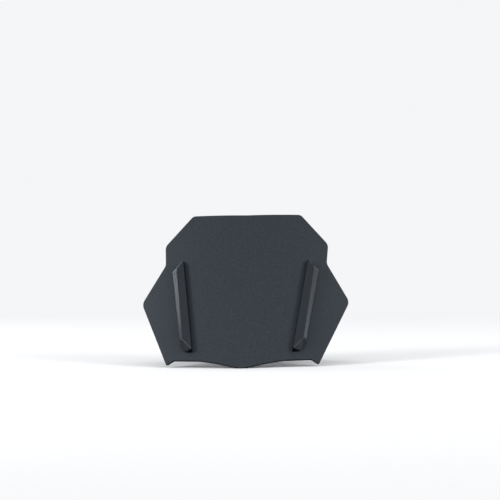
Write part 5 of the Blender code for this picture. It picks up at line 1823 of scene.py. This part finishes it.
@dataclass(frozen=True)
class Studio:
    """Pale floor, soft cool lights and a long lens a little to one side of the motorcycle's front."""

    azimuth: float = math.radians(3.5)
    elevation: float = math.radians(2.0)
    roll: float = math.radians(-0.83)
    distance: float = 3.2
    lens: float = 125.9
    sensor: float = 36.0
    shift: Point = (0.0116, 0.084)
    aim_height: float = 0.131
    floor_level: float = -0.0126
    floor_size: float = 60.0
    floor_colour: Colour = (0.70, 0.655, 0.61)
    floor_roughness: float = 0.9
    sweep: Point = (0.7, 2.0)
    daylight: Colour = (0.90, 0.97, 1.06)
    back_level: float = 0.7
    back_range: Point = (-0.6, 0.4)
    ceiling_level: float = 0.8
    ceiling_range: Point = (0.15, 1.0)
    backdrop: Colour = (0.915, 0.92, 0.93)
    softboxes: tuple[Softbox, ...] = (
        Softbox("right_hand_softbox", (-3.0, -1.55, 1.55), 104.0, 1.3),
        Softbox("left_hand_softbox", (3.0, -1.55, 1.55), 90.0, 1.3),
        Softbox("right_rear_softbox", (-1.9, 1.6, 1.3), 24.0),
        Softbox("left_rear_softbox", (2.0, 1.6, 1.0), 11.0),
    )

    def build_floor(self) -> None:
        """Lay the pale floor, which runs out into the backdrop all round."""
        bpy.ops.object.select_all(action="DESELECT")
        bpy.ops.mesh.primitive_plane_add(size=self.floor_size)
        floor = Bench.named("studio_floor")
        Bench.place(floor, Matrix.Translation((0.0, 0.0, self.floor_level)))
        paper = bpy.data.materials.new("pale_paper")
        paper.use_nodes = True
        shader = paper.node_tree.nodes["Principled BSDF"]
        shader.inputs["Base Color"].default_value = (*self.floor_colour, 1.0)
        shader.inputs["Roughness"].default_value = self.floor_roughness
        shader.inputs["Specular IOR Level"].default_value = 0.1
        tree = paper.node_tree
        reach = tree.nodes.new("ShaderNodeVectorMath")
        reach.operation = "LENGTH"
        tree.links.new(tree.nodes.new("ShaderNodeTexCoord").outputs["Object"], reach.inputs[0])
        far = tree.nodes.new("ShaderNodeEmission")
        far.inputs["Color"].default_value = (*self.backdrop, 1.0)
        blend = tree.nodes.new("ShaderNodeMixShader")
        tree.links.new(Finish.ranged(tree, reach.outputs["Value"], self.sweep, (0.0, 1.0)), blend.inputs[0])
        tree.links.new(shader.outputs[0], blend.inputs[1])
        tree.links.new(far.outputs[0], blend.inputs[2])
        tree.links.new(blend.outputs[0], tree.nodes["Material Output"].inputs["Surface"])
        paper.cycles.emission_sampling = "NONE"
        floor.data.materials.append(paper)
        floor.visible_diffuse = floor.visible_glossy = False

    def build_room(self) -> None:
        """Set a room that is bright behind and above, and dark in front.

        The camera itself sees an even pale backdrop on every side.
        """
        world = bpy.data.worlds.new("studio")
        world.use_nodes = True
        tree = world.node_tree
        way = tree.nodes.new("ShaderNodeSeparateXYZ")
        tree.links.new(tree.nodes.new("ShaderNodeTexCoord").outputs["Generated"], way.inputs[0])
        around = Finish.ranged(tree, way.outputs["Y"], self.back_range, (0.0, self.back_level))
        above = Finish.ranged(tree, way.outputs["Z"], self.ceiling_range, (0.0, self.ceiling_level))
        room = tree.nodes["Background"]
        room.inputs["Color"].default_value = (*self.daylight, 1.0)
        tree.links.new(Finish.maths(tree, "ADD", around, above), room.inputs["Strength"])
        backdrop = tree.nodes.new("ShaderNodeBackground")
        backdrop.inputs["Color"].default_value = (*self.backdrop, 1.0)
        seen = tree.nodes.new("ShaderNodeMixShader")
        tree.links.new(tree.nodes.new("ShaderNodeLightPath").outputs["Is Camera Ray"], seen.inputs[0])
        tree.links.new(room.outputs[0], seen.inputs[1])
        tree.links.new(backdrop.outputs[0], seen.inputs[2])
        tree.links.new(seen.outputs[0], tree.nodes["World Output"].inputs["Surface"])
        bpy.context.scene.world = world

    def build_lights(self) -> None:
        """Hang the softboxes around the screen."""
        target = SURFACE.point(0.0, self.aim_height)
        for softbox in self.softboxes:
            softbox.build(target, self.daylight)

    def build_camera(self) -> None:
        """Aim the camera at the middle of the screen."""
        sine, cosine = math.sin(self.azimuth), math.cos(self.azimuth)
        right = Vector((cosine, sine, 0.0))
        back = Vector(
            (sine * math.cos(self.elevation), -cosine * math.cos(self.elevation), math.sin(self.elevation))
        )
        up = back.cross(right)
        tilted_right = right * math.cos(self.roll) + up * math.sin(self.roll)
        tilted_up = back.cross(tilted_right)
        place = SURFACE.point(0.0, self.aim_height) + back * self.distance
        camera = bpy.data.objects.new("camera", bpy.data.cameras.new("camera"))
        turn = Matrix((tilted_right, tilted_up, back)).transposed().to_4x4()
        camera.matrix_world = Matrix.Translation(place) @ turn
        camera.data.lens = self.lens
        camera.data.sensor_width = self.sensor
        camera.data.shift_x, camera.data.shift_y = self.shift
        bpy.context.scene.collection.objects.link(camera)
        bpy.context.scene.camera = camera


def main() -> None:
    """Build every sub-assembly, dress it and set the studio around it."""
    logging.basicConfig(level=logging.INFO, format="%(name)s %(message)s")
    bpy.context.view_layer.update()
    bpy.context.scene.view_settings.view_transform = "Standard"
    cover, stack, arm, levers = FixingCover(), FixingStack(), ScreenArm(), LeverSet()
    base, drive, studio = BaseFrame(), GearDrive(), Studio()
    ScreenPanel().build(cover, stack.panel_hole)
    for side_name, side in SIDES.items():
        cover.build(side_name, side, stack)
        for place, spot in cover.fixings(side).items():
            stack.build(f"{side_name}_{place}", SURFACE.frame(*spot))
        arm.build(side_name, side, cover, stack)
        levers.build_lower(side_name, side)
        levers.build_upper(side_name, side)
        base.build_cheek(side_name, side)
    arm.build_brace(cover)
    levers.build_torque_tube()
    base.build_bushes()
    base.build_tubes()
    drive.build_sector()
    drive.build_pinion()
    drive.build_knob()
    studio.build_floor()
    studio.build_room()
    studio.build_lights()
    studio.build_camera()


if __name__ == "__main__":
    main()
